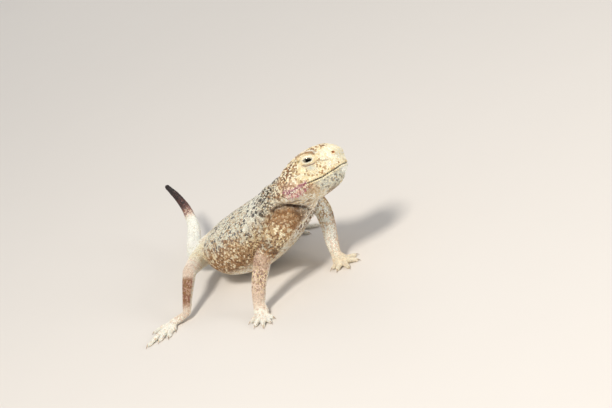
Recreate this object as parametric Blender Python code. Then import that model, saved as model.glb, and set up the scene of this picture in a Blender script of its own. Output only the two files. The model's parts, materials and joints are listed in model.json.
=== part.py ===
# Secret toadhead agama, life-size standing model. Units are metres, +Z up, the snout towards +X.
# Lengths below are written in millimetres and scaled once at the end.
import math

import bmesh
import bpy
import numpy as np
from mathutils import Vector
from mathutils.bvhtree import BVHTree

SCALE = 0.001            # one millimetre in metres
GAP = 0.32               # clearance between neighbouring bodies
FLOOR = 0.0              # level of the soles

HEAD_AT = (14.7, 2.9, 29.2)      # middle of the head at mouth level, below the eyes
HEAD_YAW = 25.0                  # degrees to the animal's left
HEAD_PITCH = 3.0                 # degrees, snout up
HEAD_ROLL = 20.0                 # degrees, left side lowered

EYE_RADIUS = 2.3
EYE_AT = (0.6, 5.1, 5.1)         # left eye in head axes; the right one mirrors it
LID_THICK = 0.6
SLIT_HALF_LENGTH = 1.6
SLIT_HALF_HEIGHT = 0.86
NOSTRIL_AT = (6.1, 1.55, 4.9)
NOSTRIL_RADIUS = 0.45
MOUTH = [(14.0, 0.9), (8.8, 0.45), (6.2, -0.45), (3.2, -1.2), (-1.3, -1.4)]   # x and level of the mouth line
MOUTH_RIDGE = 1.2                # inner ridge of the lower jaw, hidden in the upper one
LIP_OFFSET = 0.72
LIP_RADIUS = 0.5
FLAP_TEETH = 10                  # fringe points on each mouth-corner flap
FRINGE_PITCH = 1.15              # spacing of the comb points along the toes
FRINGE_LENGTH = 0.95
CLAW_LENGTH = 1.9

# Stations of the trunk: x, y, z, half width, height above, height below.
SPINE = [
    (10.4, 0.9, 30.4, 5.7, 4.0, 5.6),
    (6.8, -0.3, 28.3, 7.0, 5.1, 7.2),
    (2.8, -1.0, 25.2, 8.7, 6.9, 7.4),
    (-2.4, -1.0, 21.4, 10.9, 8.7, 7.6),
    (-10.0, -1.6, 16.8, 13.0, 9.7, 9.0),
    (-19.0, -2.6, 13.2, 14.6, 10.0, 10.2),
    (-28.0, -3.6, 10.8, 14.3, 9.5, 9.8),
    (-35.5, -3.7, 9.7, 12.0, 8.1, 8.3),
    (-41.5, -3.7, 9.0, 8.2, 6.1, 6.1),
    (-47.2, -4.7, 8.3, 5.6, 4.4, 4.3),
    (-53.0, -5.9, 7.3, 4.3, 3.2, 3.2),
    (-58.2, -3.9, 6.8, 3.0, 2.5, 2.5),
    (-63.6, 0.8, 7.4, 2.6, 2.25, 2.2),
    (-67.8, 5.4, 9.2, 2.2, 2.0, 2.0),
    (-72.2, 8.8, 11.3, 1.85, 1.75, 1.7),
    (-77.4, 12.0, 13.6, 1.6, 1.5, 1.5),
    (-83.2, 14.6, 16.1, 1.35, 1.3, 1.3),
    (-89.4, 16.8, 18.6, 1.0, 0.95, 0.95),
]
NECK_CUT = 2.35          # station numbers at which the trunk is parted
TAIL_CUTS = (8.6, 11.5, 14.0)

# Head sections in head axes: x, half width, top, bottom.
HEAD = [
    (8.7, 1.9, 2.6, -1.0),
    (8.1, 3.0, 4.7, -2.1),
    (6.8, 4.2, 7.4, -3.1),
    (4.8, 5.4, 9.0, -4.1),
    (2.4, 6.4, 9.4, -4.9),
    (-0.4, 7.5, 9.0, -5.7),
    (-3.4, 8.9, 8.1, -6.5),
    (-6.4, 9.7, 6.8, -7.0),
    (-9.0, 9.2, 5.2, -7.1),
    (-11.4, 7.7, 3.6, -6.7),
]

# Limbs: x, y, z, radius along each segment.
LIMBS = {
    "arm_right": dict(
        upper=[(5.0, -5.5, 22.4, 4.9), (4.1, -12.4, 19.4, 4.1), (0.4, -20.2, 14.4, 2.75)],
        lower=[(0.4, -20.4, 14.2, 2.75), (-0.8, -24.2, 9.0, 2.4), (-1.5, -27.4, 3.4, 1.95)],
        palm=[(-1.5, -27.4, 3.2, 1.95), (-0.3, -28.7, 1.9, 2.45), (1.0, -29.8, 1.45, 2.4)],
        digits=[(6.8, -30.0), (8.0, -32.6), (6.6, -35.0), (2.2, -35.2), (-2.2, -33.4)],
    ),
    "arm_left": dict(
        upper=[(0.2, 4.6, 21.4, 4.2), (2.6, 6.1, 15.6, 2.9), (5.7, 3.4, 10.8, 2.45)],
        lower=[(5.7, 3.3, 10.6, 2.45), (6.2, 1.5, 6.8, 2.15), (7.6, -0.4, 3.2, 1.75)],
        palm=[(7.6, -0.4, 3.0, 1.8), (8.8, -1.0, 1.9, 2.4), (10.0, -1.4, 1.45, 2.4)],
        digits=[(8.0, -5.2), (11.6, -5.9), (15.8, -4.0), (16.0, 0.6), (12.4, 3.6)],
    ),
    "leg_right": dict(
        upper=[(-44.0, -5.0, 9.0, 4.3), (-41.2, -14.5, 10.2, 3.2), (-35.7, -23.3, 11.4, 2.15)],
        lower=[(-35.6, -23.5, 11.3, 2.15), (-34.3, -28.2, 7.0, 1.8), (-32.9, -32.6, 2.7, 1.4)],
        palm=[(-32.9, -32.7, 2.5, 1.4), (-35.2, -34.6, 1.6, 1.75), (-37.2, -36.6, 1.15, 1.85)],
        digits=[(-32.6, -39.6), (-32.2, -43.4), (-34.8, -45.8), (-37.8, -48.6), (-42.8, -41.6)],
    ),
    "leg_left": dict(
        upper=[(-43.0, -0.5, 9.0, 4.3), (-39.5, 10.5, 10.2, 3.2), (-32.5, 19.0, 11.4, 2.15)],
        lower=[(-32.5, 19.2, 11.3, 2.15), (-36.6, 18.4, 7.0, 1.8), (-40.4, 16.9, 2.7, 1.4)],
        palm=[(-40.4, 16.8, 2.5, 1.4), (-37.0, 16.6, 1.5, 1.75), (-33.6, 16.4, 1.15, 1.85)],
        digits=[(-28.0, 11.2), (-24.2, 11.6), (-21.4, 14.8), (-20.2, 19.8), (-29.4, 22.6)],
    ),
}
DIGIT_RADIUS = {"arm": (0.98, 0.66), "leg": (0.92, 0.62)}

COLOURS = {
    "head": (0.72, 0.60, 0.42), "jaw": (0.74, 0.70, 0.62), "neck": (0.50, 0.44, 0.36),
    "torso": (0.56, 0.47, 0.35), "tail_base": (0.84, 0.80, 0.72), "tail_middle": (0.86, 0.84, 0.78),
    "tail_tip": (0.09, 0.06, 0.06), "eye": (0.03, 0.02, 0.015), "flap": (0.62, 0.36, 0.36),
    "upper_arm": (0.52, 0.41, 0.28), "forearm": (0.68, 0.54, 0.48), "hand": (0.82, 0.73, 0.66),
    "thigh": (0.76, 0.68, 0.56), "shank": (0.56, 0.47, 0.42), "foot": (0.86, 0.83, 0.77),
}
EYE_ROUGHNESS = 0.12
SKIN_ROUGHNESS = 0.72


def clear_scene():
    for item in list(bpy.data.objects):
        bpy.data.objects.remove(item, do_unlink=True)


def resample(rows, numbers):
    # Cubic through the rows, read at fractional station numbers.
    rows = np.array(rows, float)
    last = len(rows) - 1
    slopes = np.gradient(rows, axis=0)
    out = []
    for number in numbers:
        k = int(min(max(math.floor(number), 0), last - 1))
        t = number - k
        a, b = 2 * t**3 - 3 * t**2 + 1, t**3 - 2 * t**2 + t
        c, d = -2 * t**3 + 3 * t**2, t**3 - t**2
        out.append(a * rows[k] + b * slopes[k] + c * rows[k + 1] + d * slopes[k + 1])
    return np.array(out)


def mesh_object(name, verts, faces):
    mesh = bpy.data.meshes.new(name)
    mesh.from_pydata([tuple(v) for v in verts], [], faces)
    mesh.update()
    item = bpy.data.objects.new(name, mesh)
    bpy.context.collection.objects.link(item)
    work = bmesh.new()
    work.from_mesh(mesh)
    bmesh.ops.recalc_face_normals(work, faces=work.faces)
    if work.calc_volume(signed=True) < 0:
        bmesh.ops.reverse_faces(work, faces=work.faces)
    work.to_mesh(mesh)
    work.free()
    return item


def tube(name, rows, sides, domes=(0.0, 0.0), squareness=2.0, upward=(0, 0, 1), turns=(66, 38)):
    # Rows: x, y, z, half width, height above, height below. Domes round off the ends.
    rows = np.array(rows, float)
    centre = rows[:, :3]
    along = np.gradient(centre, axis=0)
    along /= np.linalg.norm(along, axis=1)[:, None]
    side = np.cross(np.array(upward, float), along)
    side /= np.linalg.norm(side, axis=1)[:, None]
    top = np.cross(along, side)
    rings = []

    def ring(k, factor, shift):
        points = []
        for j in range(sides):
            angle = 2 * math.pi * j / sides
            c, s = math.cos(angle), math.sin(angle)
            power = 2.0 / squareness
            u = math.copysign(abs(c) ** power, c) * rows[k, 3] * factor
            v = math.copysign(abs(s) ** power, s) * (rows[k, 4] if s > 0 else rows[k, 5]) * factor
            points.append(centre[k] + along[k] * shift + side[k] * u + top[k] * v)
        rings.append(points)

    first, last = 0, len(rows) - 1
    if domes[0]:
        for turn in turns:
            ring(first, math.cos(math.radians(turn)), -domes[0] * math.sin(math.radians(turn)))
    for k in range(len(rows)):
        ring(k, 1.0, 0.0)
    if domes[1]:
        for turn in reversed(turns):
            ring(last, math.cos(math.radians(turn)), domes[1] * math.sin(math.radians(turn)))
    verts = [p for points in rings for p in points]
    faces = []
    for r in range(len(rings) - 1):
        for j in range(sides):
            k = (j + 1) % sides
            faces.append((r * sides + j, r * sides + k, (r + 1) * sides + k, (r + 1) * sides + j))
    if domes[0]:
        verts.append(centre[first] - along[first] * domes[0])
        pole = len(verts) - 1
        faces += [(pole, (j + 1) % sides, j) for j in range(sides)]
    else:
        faces.append(tuple(reversed(range(sides))))
    base = (len(rings) - 1) * sides
    if domes[1]:
        verts.append(centre[last] + along[last] * domes[1])
        pole = len(verts) - 1
        faces += [(pole, base + j, base + (j + 1) % sides) for j in range(sides)]
    else:
        faces.append(tuple(base + j for j in range(sides)))
    return mesh_object(name, verts, faces)


def limb_tube(name, rows, sides, rings, flatten=1.0, domes=(0.95, 0.95), turns=(66, 38), upward=(0, 0, 1)):
    rows = resample(rows, np.linspace(0, len(rows) - 1, rings))
    full = [(x, y, z, r, r * flatten, r * flatten) for x, y, z, r in rows]
    ends = (rows[0][3] * domes[0], rows[-1][3] * domes[1])
    return tube(name, full, sides, ends, turns=turns, upward=upward)


def cone(name, base, tip, radius, sides=6, sink=0.5):
    # A pointed spine from inside the base to the tip.
    base, tip = np.array(base, float), np.array(tip, float)
    along = tip - base
    along /= np.linalg.norm(along)
    helper = np.array((0, 0, 1.0)) if abs(along[2]) < 0.9 else np.array((1.0, 0, 0))
    side = np.cross(helper, along)
    side /= np.linalg.norm(side)
    top = np.cross(along, side)
    verts = []
    for j in range(sides):
        angle = 2 * math.pi * (j + 0.5) / sides
        verts.append(base - along * sink + radius * (side * math.cos(angle) + top * math.sin(angle)))
    verts.append(tip)
    faces = [(j, (j + 1) % sides, sides) for j in range(sides)] + [tuple(reversed(range(sides)))]
    return mesh_object(name, verts, faces)


def ball(name, centre, radii, segments=20, rings=12, turn=None):
    work = bmesh.new()
    bmesh.ops.create_uvsphere(work, u_segments=segments, v_segments=rings, radius=1.0)
    mesh = bpy.data.meshes.new(name)
    work.to_mesh(mesh)
    work.free()
    item = bpy.data.objects.new(name, mesh)
    bpy.context.collection.objects.link(item)
    for vert in mesh.vertices:
        point = np.array(vert.co) * np.array(radii)
        if turn is not None:
            point = turn @ point
        vert.co = Vector(point + np.array(centre))
    return item


def box(name, low, high):
    x0, y0, z0 = low
    x1, y1, z1 = high
    verts = [(x, y, z) for x in (x0, x1) for y in (y0, y1) for z in (z0, z1)]
    faces = [(0, 1, 3, 2), (4, 6, 7, 5), (0, 4, 5, 1), (2, 3, 7, 6), (0, 2, 6, 4), (1, 5, 7, 3)]
    return mesh_object(name, verts, faces)


def remove(item):
    bpy.data.objects.remove(item, do_unlink=True)


def copy_of(item, name):
    other = bpy.data.objects.new(name, item.data.copy())
    bpy.context.collection.objects.link(other)
    return other


def open_edges(mesh):
    work = bmesh.new()
    work.from_mesh(mesh)
    bmesh.ops.remove_doubles(work, verts=work.verts, dist=0.0001)
    count = sum(len(edge.link_faces) != 2 for edge in work.edges) + (len(work.faces) == 0)
    work.free()
    return count


def volume_of(mesh):
    work = bmesh.new()
    work.from_mesh(mesh)
    volume = abs(work.calc_volume(signed=True))
    work.free()
    return volume


def bake(item):
    # The exact result is kept; the other solver steps in only where that one leaves an open edge or a scrap.
    before = volume_of(item.data)
    for solver in ("EXACT", "MANIFOLD"):
        item.modifiers[0].solver = solver
        graph = bpy.context.evaluated_depsgraph_get()
        mesh = bpy.data.meshes.new_from_object(item.evaluated_get(graph))
        if not open_edges(mesh) and volume_of(mesh) > 0.02 * before:
            break
    item.modifiers.clear()
    item.data = mesh


def union(item, others):
    group = bpy.data.collections.new(item.name + "_pieces")
    bpy.context.scene.collection.children.link(group)
    for other in others:
        group.objects.link(other)
    step = item.modifiers.new("join", "BOOLEAN")
    step.operation = "UNION"
    step.operand_type = "COLLECTION"
    step.collection = group
    bake(item)
    for other in list(group.objects):
        remove(other)
    bpy.data.collections.remove(group)
    keep_largest(item)
    return item


def carve(item, cutter, operation="DIFFERENCE", discard=True):
    cutter.hide_render = True
    cutter.display_type = "WIRE"
    step = item.modifiers.new("carve", "BOOLEAN")
    step.operation = operation
    step.object = cutter
    bake(item)
    if discard:
        remove(cutter)
    keep_largest(item)
    return item


def keep_largest(item):
    # Only the largest closed surface stays; slivers of a cut are dropped.
    work = bmesh.new()
    work.from_mesh(item.data)
    bmesh.ops.remove_doubles(work, verts=work.verts, dist=0.0001)
    bmesh.ops.dissolve_degenerate(work, edges=work.edges, dist=0.0001)
    work.faces.ensure_lookup_table()
    seen, groups = set(), []
    for face in work.faces:
        if face.index in seen:
            continue
        stack, group = [face], []
        seen.add(face.index)
        while stack:
            current = stack.pop()
            group.append(current)
            for edge in current.edges:
                for linked in edge.link_faces:
                    if linked.index not in seen:
                        seen.add(linked.index)
                        stack.append(linked)
        groups.append(group)
    groups.sort(key=lambda g: -sum(f.calc_area() for f in g))
    extra = [f for group in groups[1:] for f in group]
    if extra:
        bmesh.ops.delete(work, geom=extra, context="FACES")
    loose = [v for v in work.verts if not v.link_faces]
    if loose:
        bmesh.ops.delete(work, geom=loose, context="VERTS")
    work.to_mesh(item.data)
    work.free()


def swollen(item, amount=GAP):
    # A copy pushed outward along its normals, used as a cutter for the neighbour.
    mesh = item.data.copy()
    work = bmesh.new()
    work.from_mesh(mesh)
    bmesh.ops.triangulate(work, faces=work.faces)
    work.normal_update()
    moves = [(v, v.normal.copy() * amount) for v in work.verts]
    for vert, move in moves:
        vert.co += move
    work.to_mesh(mesh)
    work.free()
    other = bpy.data.objects.new(item.name + "_grown", mesh)
    bpy.context.collection.objects.link(other)
    return other


def clear_of(item, neighbours):
    for neighbour in neighbours:
        carve(item, swollen(neighbour))


def above_floor(item, level=FLOOR):
    carve(item, box("below", (-200, -200, level - 60), (200, 200, level)))


def turn_matrix():
    yaw, pitch, roll = (math.radians(v) for v in (HEAD_YAW, HEAD_PITCH, HEAD_ROLL))
    about_z = np.array([(math.cos(yaw), -math.sin(yaw), 0), (math.sin(yaw), math.cos(yaw), 0), (0, 0, 1)])
    c, s = math.cos(pitch), math.sin(pitch)
    about_y = np.array([(c, 0, -s), (0, 1, 0), (s, 0, c)])
    c, s = math.cos(roll), math.sin(roll)
    about_x = np.array([(1, 0, 0), (0, c, s), (0, -s, c)])
    return about_z @ about_y @ about_x


def place_head(item):
    turn = turn_matrix()
    for vert in item.data.vertices:
        vert.co = Vector(turn @ np.array(vert.co) + np.array(HEAD_AT))
    return item


def head_rows(grow=0.0):
    rows = []
    for x, width, top, bottom in HEAD:
        middle = 0.35 * top + 0.65 * bottom + 2.2
        rows.append((x, 0.0, middle, width + grow, top - middle + grow, middle - bottom + grow))
    return resample(rows, np.linspace(0, len(rows) - 1, 15))


def head_surface_y(x, z):
    # Half width of the head at a height, for pieces that hug its side.
    xs = [row[0] for row in reversed(HEAD)]
    width = np.interp(x, xs, [row[1] for row in reversed(HEAD)])
    top = np.interp(x, xs, [row[2] for row in reversed(HEAD)])
    bottom = np.interp(x, xs, [row[3] for row in reversed(HEAD)])
    middle = 0.35 * top + 0.65 * bottom + 2.2
    reach = (top - middle) if z > middle else (middle - bottom)
    return width * math.sqrt(max(0.05, 1 - ((z - middle) / reach) ** 2))


def prism(name, outline, low, high, axis):
    # An outline drawn in the plane across an axis, pulled along it.
    def place(pair, level):
        return (pair[0], level, pair[1]) if axis == "y" else (pair[0], pair[1], level)

    count = len(outline)
    verts = [place(pair, low) for pair in outline] + [place(pair, high) for pair in outline]
    faces = [tuple(range(count)), tuple(reversed(range(count, 2 * count)))]
    faces += [(j, j + count, (j + 1) % count + count, (j + 1) % count) for j in range(count)]
    return mesh_object(name, verts, faces)


def mouth_level(x):
    return float(np.interp(x, [row[0] for row in reversed(MOUTH)], [row[1] for row in reversed(MOUTH)]))


def jaw_region(name, shrink):
    # Side profile of the lower jaw, pulled wide; its upper border is the mouth line.
    # A low inner ridge closes the view through it.
    back = MOUTH[-1][0] + shrink
    profile = [(14, -14), (back - 2.4, -14), (back, -2.0 - shrink)]
    profile += [(max(x, back), level - shrink) for x, level in reversed(MOUTH)]
    region = prism(name, profile, -14, 14, "y")
    s = shrink
    plan = [(-1.4 + s, 5.6 - s), (3.4, 3.7 - s), (7.6 - s, 1.5 - s)]
    plan += [(x, -y) for x, y in reversed(plan)]
    return union(region, [prism("ridge", plan, -3.0, MOUTH_RIDGE - s, "z")])


def surface_of(item):
    work = bmesh.new()
    work.from_mesh(item.data)
    tree = BVHTree.FromBMesh(work)
    work.free()
    return tree


def outward_hit(tree, start, direction):
    # The last surface met on a way out from inside.
    point, found = Vector(start), None
    for _ in range(6):
        hit = tree.ray_cast(point, Vector(direction).normalized())
        if hit[0] is None:
            break
        found = hit[0]
        point = hit[0] + Vector(direction).normalized() * 0.01
    return np.array(found)


def lip(name, tree, offset):
    # A raised row of lip plates that follows the mouth line on one side of it.
    rows = []
    for angle in np.linspace(-125, 125, 25):
        a = math.radians(angle)
        direction = (math.cos(a), math.sin(a), 0.0)
        level = 0.0
        for _ in range(3):
            point = outward_hit(tree, (1.5, 0.0, level + offset), direction)
            level = mouth_level(point[0])
        if point[0] < MOUTH[-1][0] + 1.0:
            continue
        point -= 0.12 * np.array(direction)
        rows.append((*point, LIP_RADIUS * 0.9, LIP_RADIUS, LIP_RADIUS))
    return tube(name, rows, 6, (0.3, 0.3))


def mirrored(point, hand):
    return (point[0], point[1] * hand, point[2])


def eye_axes(hand):
    # Outward, forward and upward directions of an eye.
    out = np.array((0.30, hand * 0.93, 0.20))
    out /= np.linalg.norm(out)
    forward = np.array((0.97, -hand * 0.24, -0.10))
    forward -= out * forward.dot(out)
    forward /= np.linalg.norm(forward)
    upward = np.cross(out, forward) * hand
    if upward[2] < 0:
        upward = -upward
    return out, forward, upward


def build_head():
    skull = tube("skull", head_rows(), 24, (0.9, 1.5), 2.25)
    bare = surface_of(skull)
    extras = []
    for hand in (1, -1):
        extras.append(ball("lid", mirrored(EYE_AT, hand), (EYE_RADIUS + LID_THICK,) * 3, 16, 10))
        brow = [(3.7, 5.2, 6.6, 0.55), (2.6, 6.4, 7.2, 0.8), (0.5, 7.1, 7.45, 0.9), (-1.8, 7.2, 6.6, 0.65)]
        extras.append(limb_tube("brow", [(x, y * hand, z, r) for x, y, z, r in brow], 8, 6))
    whole = union(skull, extras)
    jaw, blank = copy_of(whole, "jaw"), copy_of(whole, "blank")
    carve(jaw, jaw_region("front_low", GAP / 2), "INTERSECT")
    union(jaw, [lip("lower_lip", bare, -LIP_OFFSET)])
    head = carve(whole, jaw_region("front_low", -GAP / 2))
    head.name = "head"
    rims = []
    for hand in (1, -1):
        direction = np.array(mirrored(NOSTRIL_AT, hand)) - np.array((4.2, 0.0, 3.2))
        spot = outward_hit(bare, (4.2, 0.0, 3.2), direction)
        rims.append((spot, direction / np.linalg.norm(direction)))
    union(head, [lip("upper_lip", bare, LIP_OFFSET)]
          + [ball("rim", spot - out * 0.35, (0.85, 0.85, 0.85), 10, 6) for spot, out in rims])
    for spot, out in rims:
        carve(head, ball("pit", spot + out * 0.45, (NOSTRIL_RADIUS,) * 3, 8, 5))
    eyes = []
    for hand, tag in ((1, "left"), (-1, "right")):
        out, forward, upward = eye_axes(hand)
        centre = np.array(mirrored(EYE_AT, hand))
        socket = ball("socket", centre, (EYE_RADIUS + GAP + 0.1,) * 3, 12, 8)
        turn = np.stack([forward, upward, out], axis=1)
        slit = ball("slit", centre + out * (EYE_RADIUS + 0.2) - upward * 0.15,
                    (SLIT_HALF_LENGTH, SLIT_HALF_HEIGHT, 1.8), 14, 8, turn)
        carve(head, union(socket, [slit]))
        eye = ball("eye_" + tag, centre, (EYE_RADIUS,) * 3, 16, 10)
        eyes.append(place_head(eye))
    return place_head(head), place_head(jaw), eyes, place_head(blank)


def build_flap(hand, tag):
    # Folded skin at the mouth corner, fringed along its free lower edge.
    rows = []
    shape = ((-1.2, -1.3, 0.6), (-2.7, -1.7, 1.2), (-4.7, -2.0, 1.6), (-6.7, -1.8, 1.4), (-8.2, -1.1, 0.7))
    for x, z, tall in shape:
        y = hand * (head_surface_y(x, z) + 1.15)
        rows.append((x, y, z, 0.75, tall, tall))
    flap = tube("flap_" + tag, resample(rows, np.linspace(0, 4, 9)), 12, (0.7, 0.7))
    teeth = []
    for k in range(FLAP_TEETH):
        t = k / (FLAP_TEETH - 1)
        angle = math.radians(-28 - 160 * t)
        x = -4.8 + 3.1 * math.cos(angle)
        z = -1.8 + 1.5 * math.sin(angle)
        y = hand * (head_surface_y(x, z) + 1.2)
        reach = 1.2 + 0.5 * math.sin(math.pi * t)
        tip = (x + reach * math.cos(angle) * 0.7 - 0.5, y + hand * 0.6, z + reach * math.sin(angle) * 0.8)
        teeth.append(cone("tooth", (x, y, z), tip, 0.45, 6, 0.6))
    return place_head(union(flap, teeth))


def build_trunk():
    def length_of(name, start, stop, rings, sides, domes=(0, 0), grow=0.0):
        rows = resample(SPINE, np.linspace(start, stop, rings))
        rows[:, 3:] += grow
        return tube(name, rows, sides, domes, 2.15 if sides > 20 else 2.0)

    def step(number):
        here, there = resample(SPINE, [number - 0.02, number + 0.02])[:, :3]
        return 0.04 * (GAP / 2) / np.linalg.norm(there - here)

    cuts = [NECK_CUT] + list(TAIL_CUTS)
    margins = [step(cut) for cut in cuts]
    neck = length_of("neck", 0.0, cuts[0] - margins[0], 7, 26)
    torso = length_of("torso", cuts[0] + margins[0], cuts[1] - margins[1], 17, 28)
    base = length_of("tail_base", cuts[1] + margins[1], cuts[2] - margins[2], 9, 18)
    middle = length_of("tail_middle", cuts[2] + margins[2], cuts[3] - margins[3], 8, 16)
    tip = length_of("tail_tip", cuts[3] + margins[3], len(SPINE) - 1, 9, 14, (0, 1.0))
    collar = length_of("collar", 0.0, cuts[0], 7, 26, grow=GAP + 0.05)
    return neck, torso, base, middle, tip, collar


def gular_fold():
    # The fold of skin across the throat, in front of the arms.
    rows = []
    for angle in np.linspace(-152, -36, 9):
        a = math.radians(angle)
        x, y, z = 5.2 - 0.8 * math.sin(a), -0.7 + 8.3 * math.cos(a), 27.2 + 7.8 * math.sin(a)
        rows.append((x, y, z, 0.8, 0.8, 0.8))
    return tube("fold", rows, 8, (0.6, 0.6), 2.0, (1, 0, 0))


def build_digits(kind, palm_rows, tips):
    pieces = []
    start_radius, end_radius = DIGIT_RADIUS[kind]
    root = np.array(palm_rows[-1][:3])
    heading = np.mean([np.array(t) for t in tips], axis=0) - root[:2]
    heading /= np.linalg.norm(heading)
    for k, tip in enumerate(tips):
        tip = np.array((tip[0], tip[1], 0.0))
        out = tip[:2] - root[:2]
        base = np.array((root[0] + out[0] * 0.10, root[1] + out[1] * 0.10, 1.10))
        knuckle = np.array((*(root[:2] + out * 0.45), 0.96))
        rear = np.array((*(root[:2] + out * 0.78), 0.66))
        nail = np.array((*(root[:2] + out * (1.0 - CLAW_LENGTH * 0.6 / np.linalg.norm(out))), 0.50))
        path = [(*base, start_radius), (*knuckle, start_radius * 0.98)]
        path += [(*rear, end_radius * 1.05), (*nail, end_radius)]
        pieces.append(limb_tube("digit", path, 7, 5, domes=(0.0, 0.9), turns=(50,)))
        unit = np.array((*out, 0.0)) / np.linalg.norm(out)
        claw = [(*(nail - unit * 0.5), 0.48), (*(nail + unit * 0.7 + np.array((0, 0, 0.18))), 0.36),
                (*(nail + unit * (CLAW_LENGTH - 0.2) - np.array((0, 0, 0.28))), 0.08)]
        pieces.append(limb_tube("claw", claw, 5, 3, domes=(0.0, 1.0), turns=()))
    return pieces


def build_fringe(root, tips, which):
    # Comb points along both borders of the longer toes.
    pieces = []
    for k in which:
        out = np.array(tips[k]) - root[:2]
        span = np.linalg.norm(out)
        unit = out / span
        side = np.array((-unit[1], unit[0]))
        for hand in (1, -1):
            for j in range(int((span * 0.55) / FRINGE_PITCH)):
                at = root[:2] + unit * (span * 0.32 + j * FRINGE_PITCH)
                base = np.array((*(at + side * hand * 0.45), 0.62))
                tip = np.array((*(at + side * hand * (0.6 + FRINGE_LENGTH) + unit * 0.25), 0.34))
                pieces.append(cone("comb", base, tip, 0.30, 4, 0.25))
    return pieces


def build_limb(label, fringe):
    spec = LIMBS[label]
    kind, tag = label.split("_")
    names = {"arm": ("upper_arm_", "forearm_", "hand_"), "leg": ("thigh_", "shank_", "foot_")}[kind]
    upper = limb_tube(names[0] + tag, spec["upper"], 16, 7, upward=(1, 0, 0))
    lower = limb_tube(names[1] + tag, spec["lower"], 14, 7, upward=(1, 0, 0))
    palm = limb_tube(names[2] + tag, spec["palm"], 12, 4, 0.72, turns=(50,))
    pieces = build_digits(kind, spec["palm"], spec["digits"])
    if fringe:
        pieces += build_fringe(np.array(spec["palm"][-1][:3]), spec["digits"], fringe)
    union(palm, pieces)
    above_floor(palm)
    clear_of(lower, [palm])
    clear_of(upper, [lower])
    return upper, lower, palm


def finish(items):
    lows = np.min([np.min([v.co[:] for v in item.data.vertices], axis=0) for item in items], axis=0)
    highs = np.max([np.max([v.co[:] for v in item.data.vertices], axis=0) for item in items], axis=0)
    shift = np.array(((lows[0] + highs[0]) / 2, (lows[1] + highs[1]) / 2, lows[2]))
    for item in items:
        for vert in item.data.vertices:
            vert.co = Vector((np.array(vert.co) - shift) * SCALE)
        key = item.name
        for tag in ("_left", "_right"):
            key = key.replace(tag, "")
        eye = key == "eye"
        paint = bpy.data.materials.new(item.name + "_surface")
        paint.use_nodes = True
        shader = paint.node_tree.nodes["Principled BSDF"]
        shader.inputs["Base Color"].default_value = (*COLOURS[key], 1.0)
        shader.inputs["Roughness"].default_value = EYE_ROUGHNESS if eye else SKIN_ROUGHNESS
        shader.inputs["Metallic"].default_value = 0.0
        item.data.materials.clear()
        item.data.materials.append(paint)
        for face in item.data.polygons:
            face.material_index = 0
            face.use_smooth = True
        item.data.set_sharp_from_angle(angle=math.radians(40))
        item.data.name = item.name


def main():
    clear_scene()
    head, jaw, eyes, blank = build_head()
    flaps = [build_flap(1, "left"), build_flap(-1, "right")]
    neck, torso, tail_base, tail_middle, tail_tip, collar = build_trunk()
    union(neck, [gular_fold()])
    nape = copy_of(neck, "nape")
    for flap, label in zip(flaps, ("arm_left", "arm_right")):
        carve(flap, place_head(tube("sheath", head_rows(GAP + 0.05), 24, (0.9, 1.5), 2.25)))
        carve(flap, collar, discard=False)
        sleeve = [(x, y, z, r + GAP) for x, y, z, r in LIMBS[label]["upper"]]
        carve(flap, limb_tube("sleeve", sleeve, 16, 7, upward=(1, 0, 0)))
    remove(collar)
    clear_of(neck, [torso, blank])
    limbs = []
    for label in LIMBS:
        fringe = (1, 2, 3) if label.startswith("leg") else ()
        upper, lower, palm = build_limb(label, fringe)
        clear_of(upper, [torso, nape] if label.startswith("arm") else [torso, tail_base])
        limbs += [upper, lower, palm]
    remove(blank)
    remove(nape)
    finish([head, jaw] + eyes + flaps + [neck, torso, tail_base, tail_middle, tail_tip] + limbs)


main()
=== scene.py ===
# Life-size toadhead agama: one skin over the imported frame, with its scales, combs, claws and eyes.
# Lengths in the dictionaries are millimetres; meshes are written in metres.
import json
import math

import bmesh
import bpy
import numpy as np
from mathutils import Matrix, Vector
from mathutils.bvhtree import BVHTree
from mathutils.kdtree import KDTree

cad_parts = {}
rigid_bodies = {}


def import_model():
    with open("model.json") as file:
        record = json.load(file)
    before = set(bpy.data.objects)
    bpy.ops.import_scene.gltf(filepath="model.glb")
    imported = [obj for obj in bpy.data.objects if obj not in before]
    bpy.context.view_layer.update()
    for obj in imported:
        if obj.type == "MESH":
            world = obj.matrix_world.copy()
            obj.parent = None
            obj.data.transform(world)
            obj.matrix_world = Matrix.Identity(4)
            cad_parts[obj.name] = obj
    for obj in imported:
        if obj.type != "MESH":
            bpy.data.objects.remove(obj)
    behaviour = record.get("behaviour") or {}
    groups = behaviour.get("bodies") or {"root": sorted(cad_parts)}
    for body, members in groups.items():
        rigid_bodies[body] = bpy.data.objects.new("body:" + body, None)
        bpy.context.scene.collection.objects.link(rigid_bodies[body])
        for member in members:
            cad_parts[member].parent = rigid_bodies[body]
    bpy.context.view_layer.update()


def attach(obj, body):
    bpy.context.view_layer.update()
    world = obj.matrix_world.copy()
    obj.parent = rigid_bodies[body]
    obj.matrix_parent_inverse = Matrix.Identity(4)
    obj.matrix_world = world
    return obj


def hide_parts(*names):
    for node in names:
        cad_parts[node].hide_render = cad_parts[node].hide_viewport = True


for leftover in list(bpy.data.objects):
    bpy.data.objects.remove(leftover, do_unlink=True)
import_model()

millimetre = 0.001
frameShift = np.array((33.360, 13.054, 0.0))  # the tables below count from the chest


# Small helpers: tables, vectors, noise.

def unit(v):
    v = np.asarray(v, float)
    return v / np.maximum(np.linalg.norm(v, axis=-1, keepdims=True), 1e-12)


def smooth(low, high, x):
    t = np.clip((np.asarray(x, float) - low) / (high - low), 0, 1)
    return t * t * (3 - 2 * t)


def bump(x, centre, width):
    return np.exp(-(((x - centre) / width) ** 2))


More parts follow.
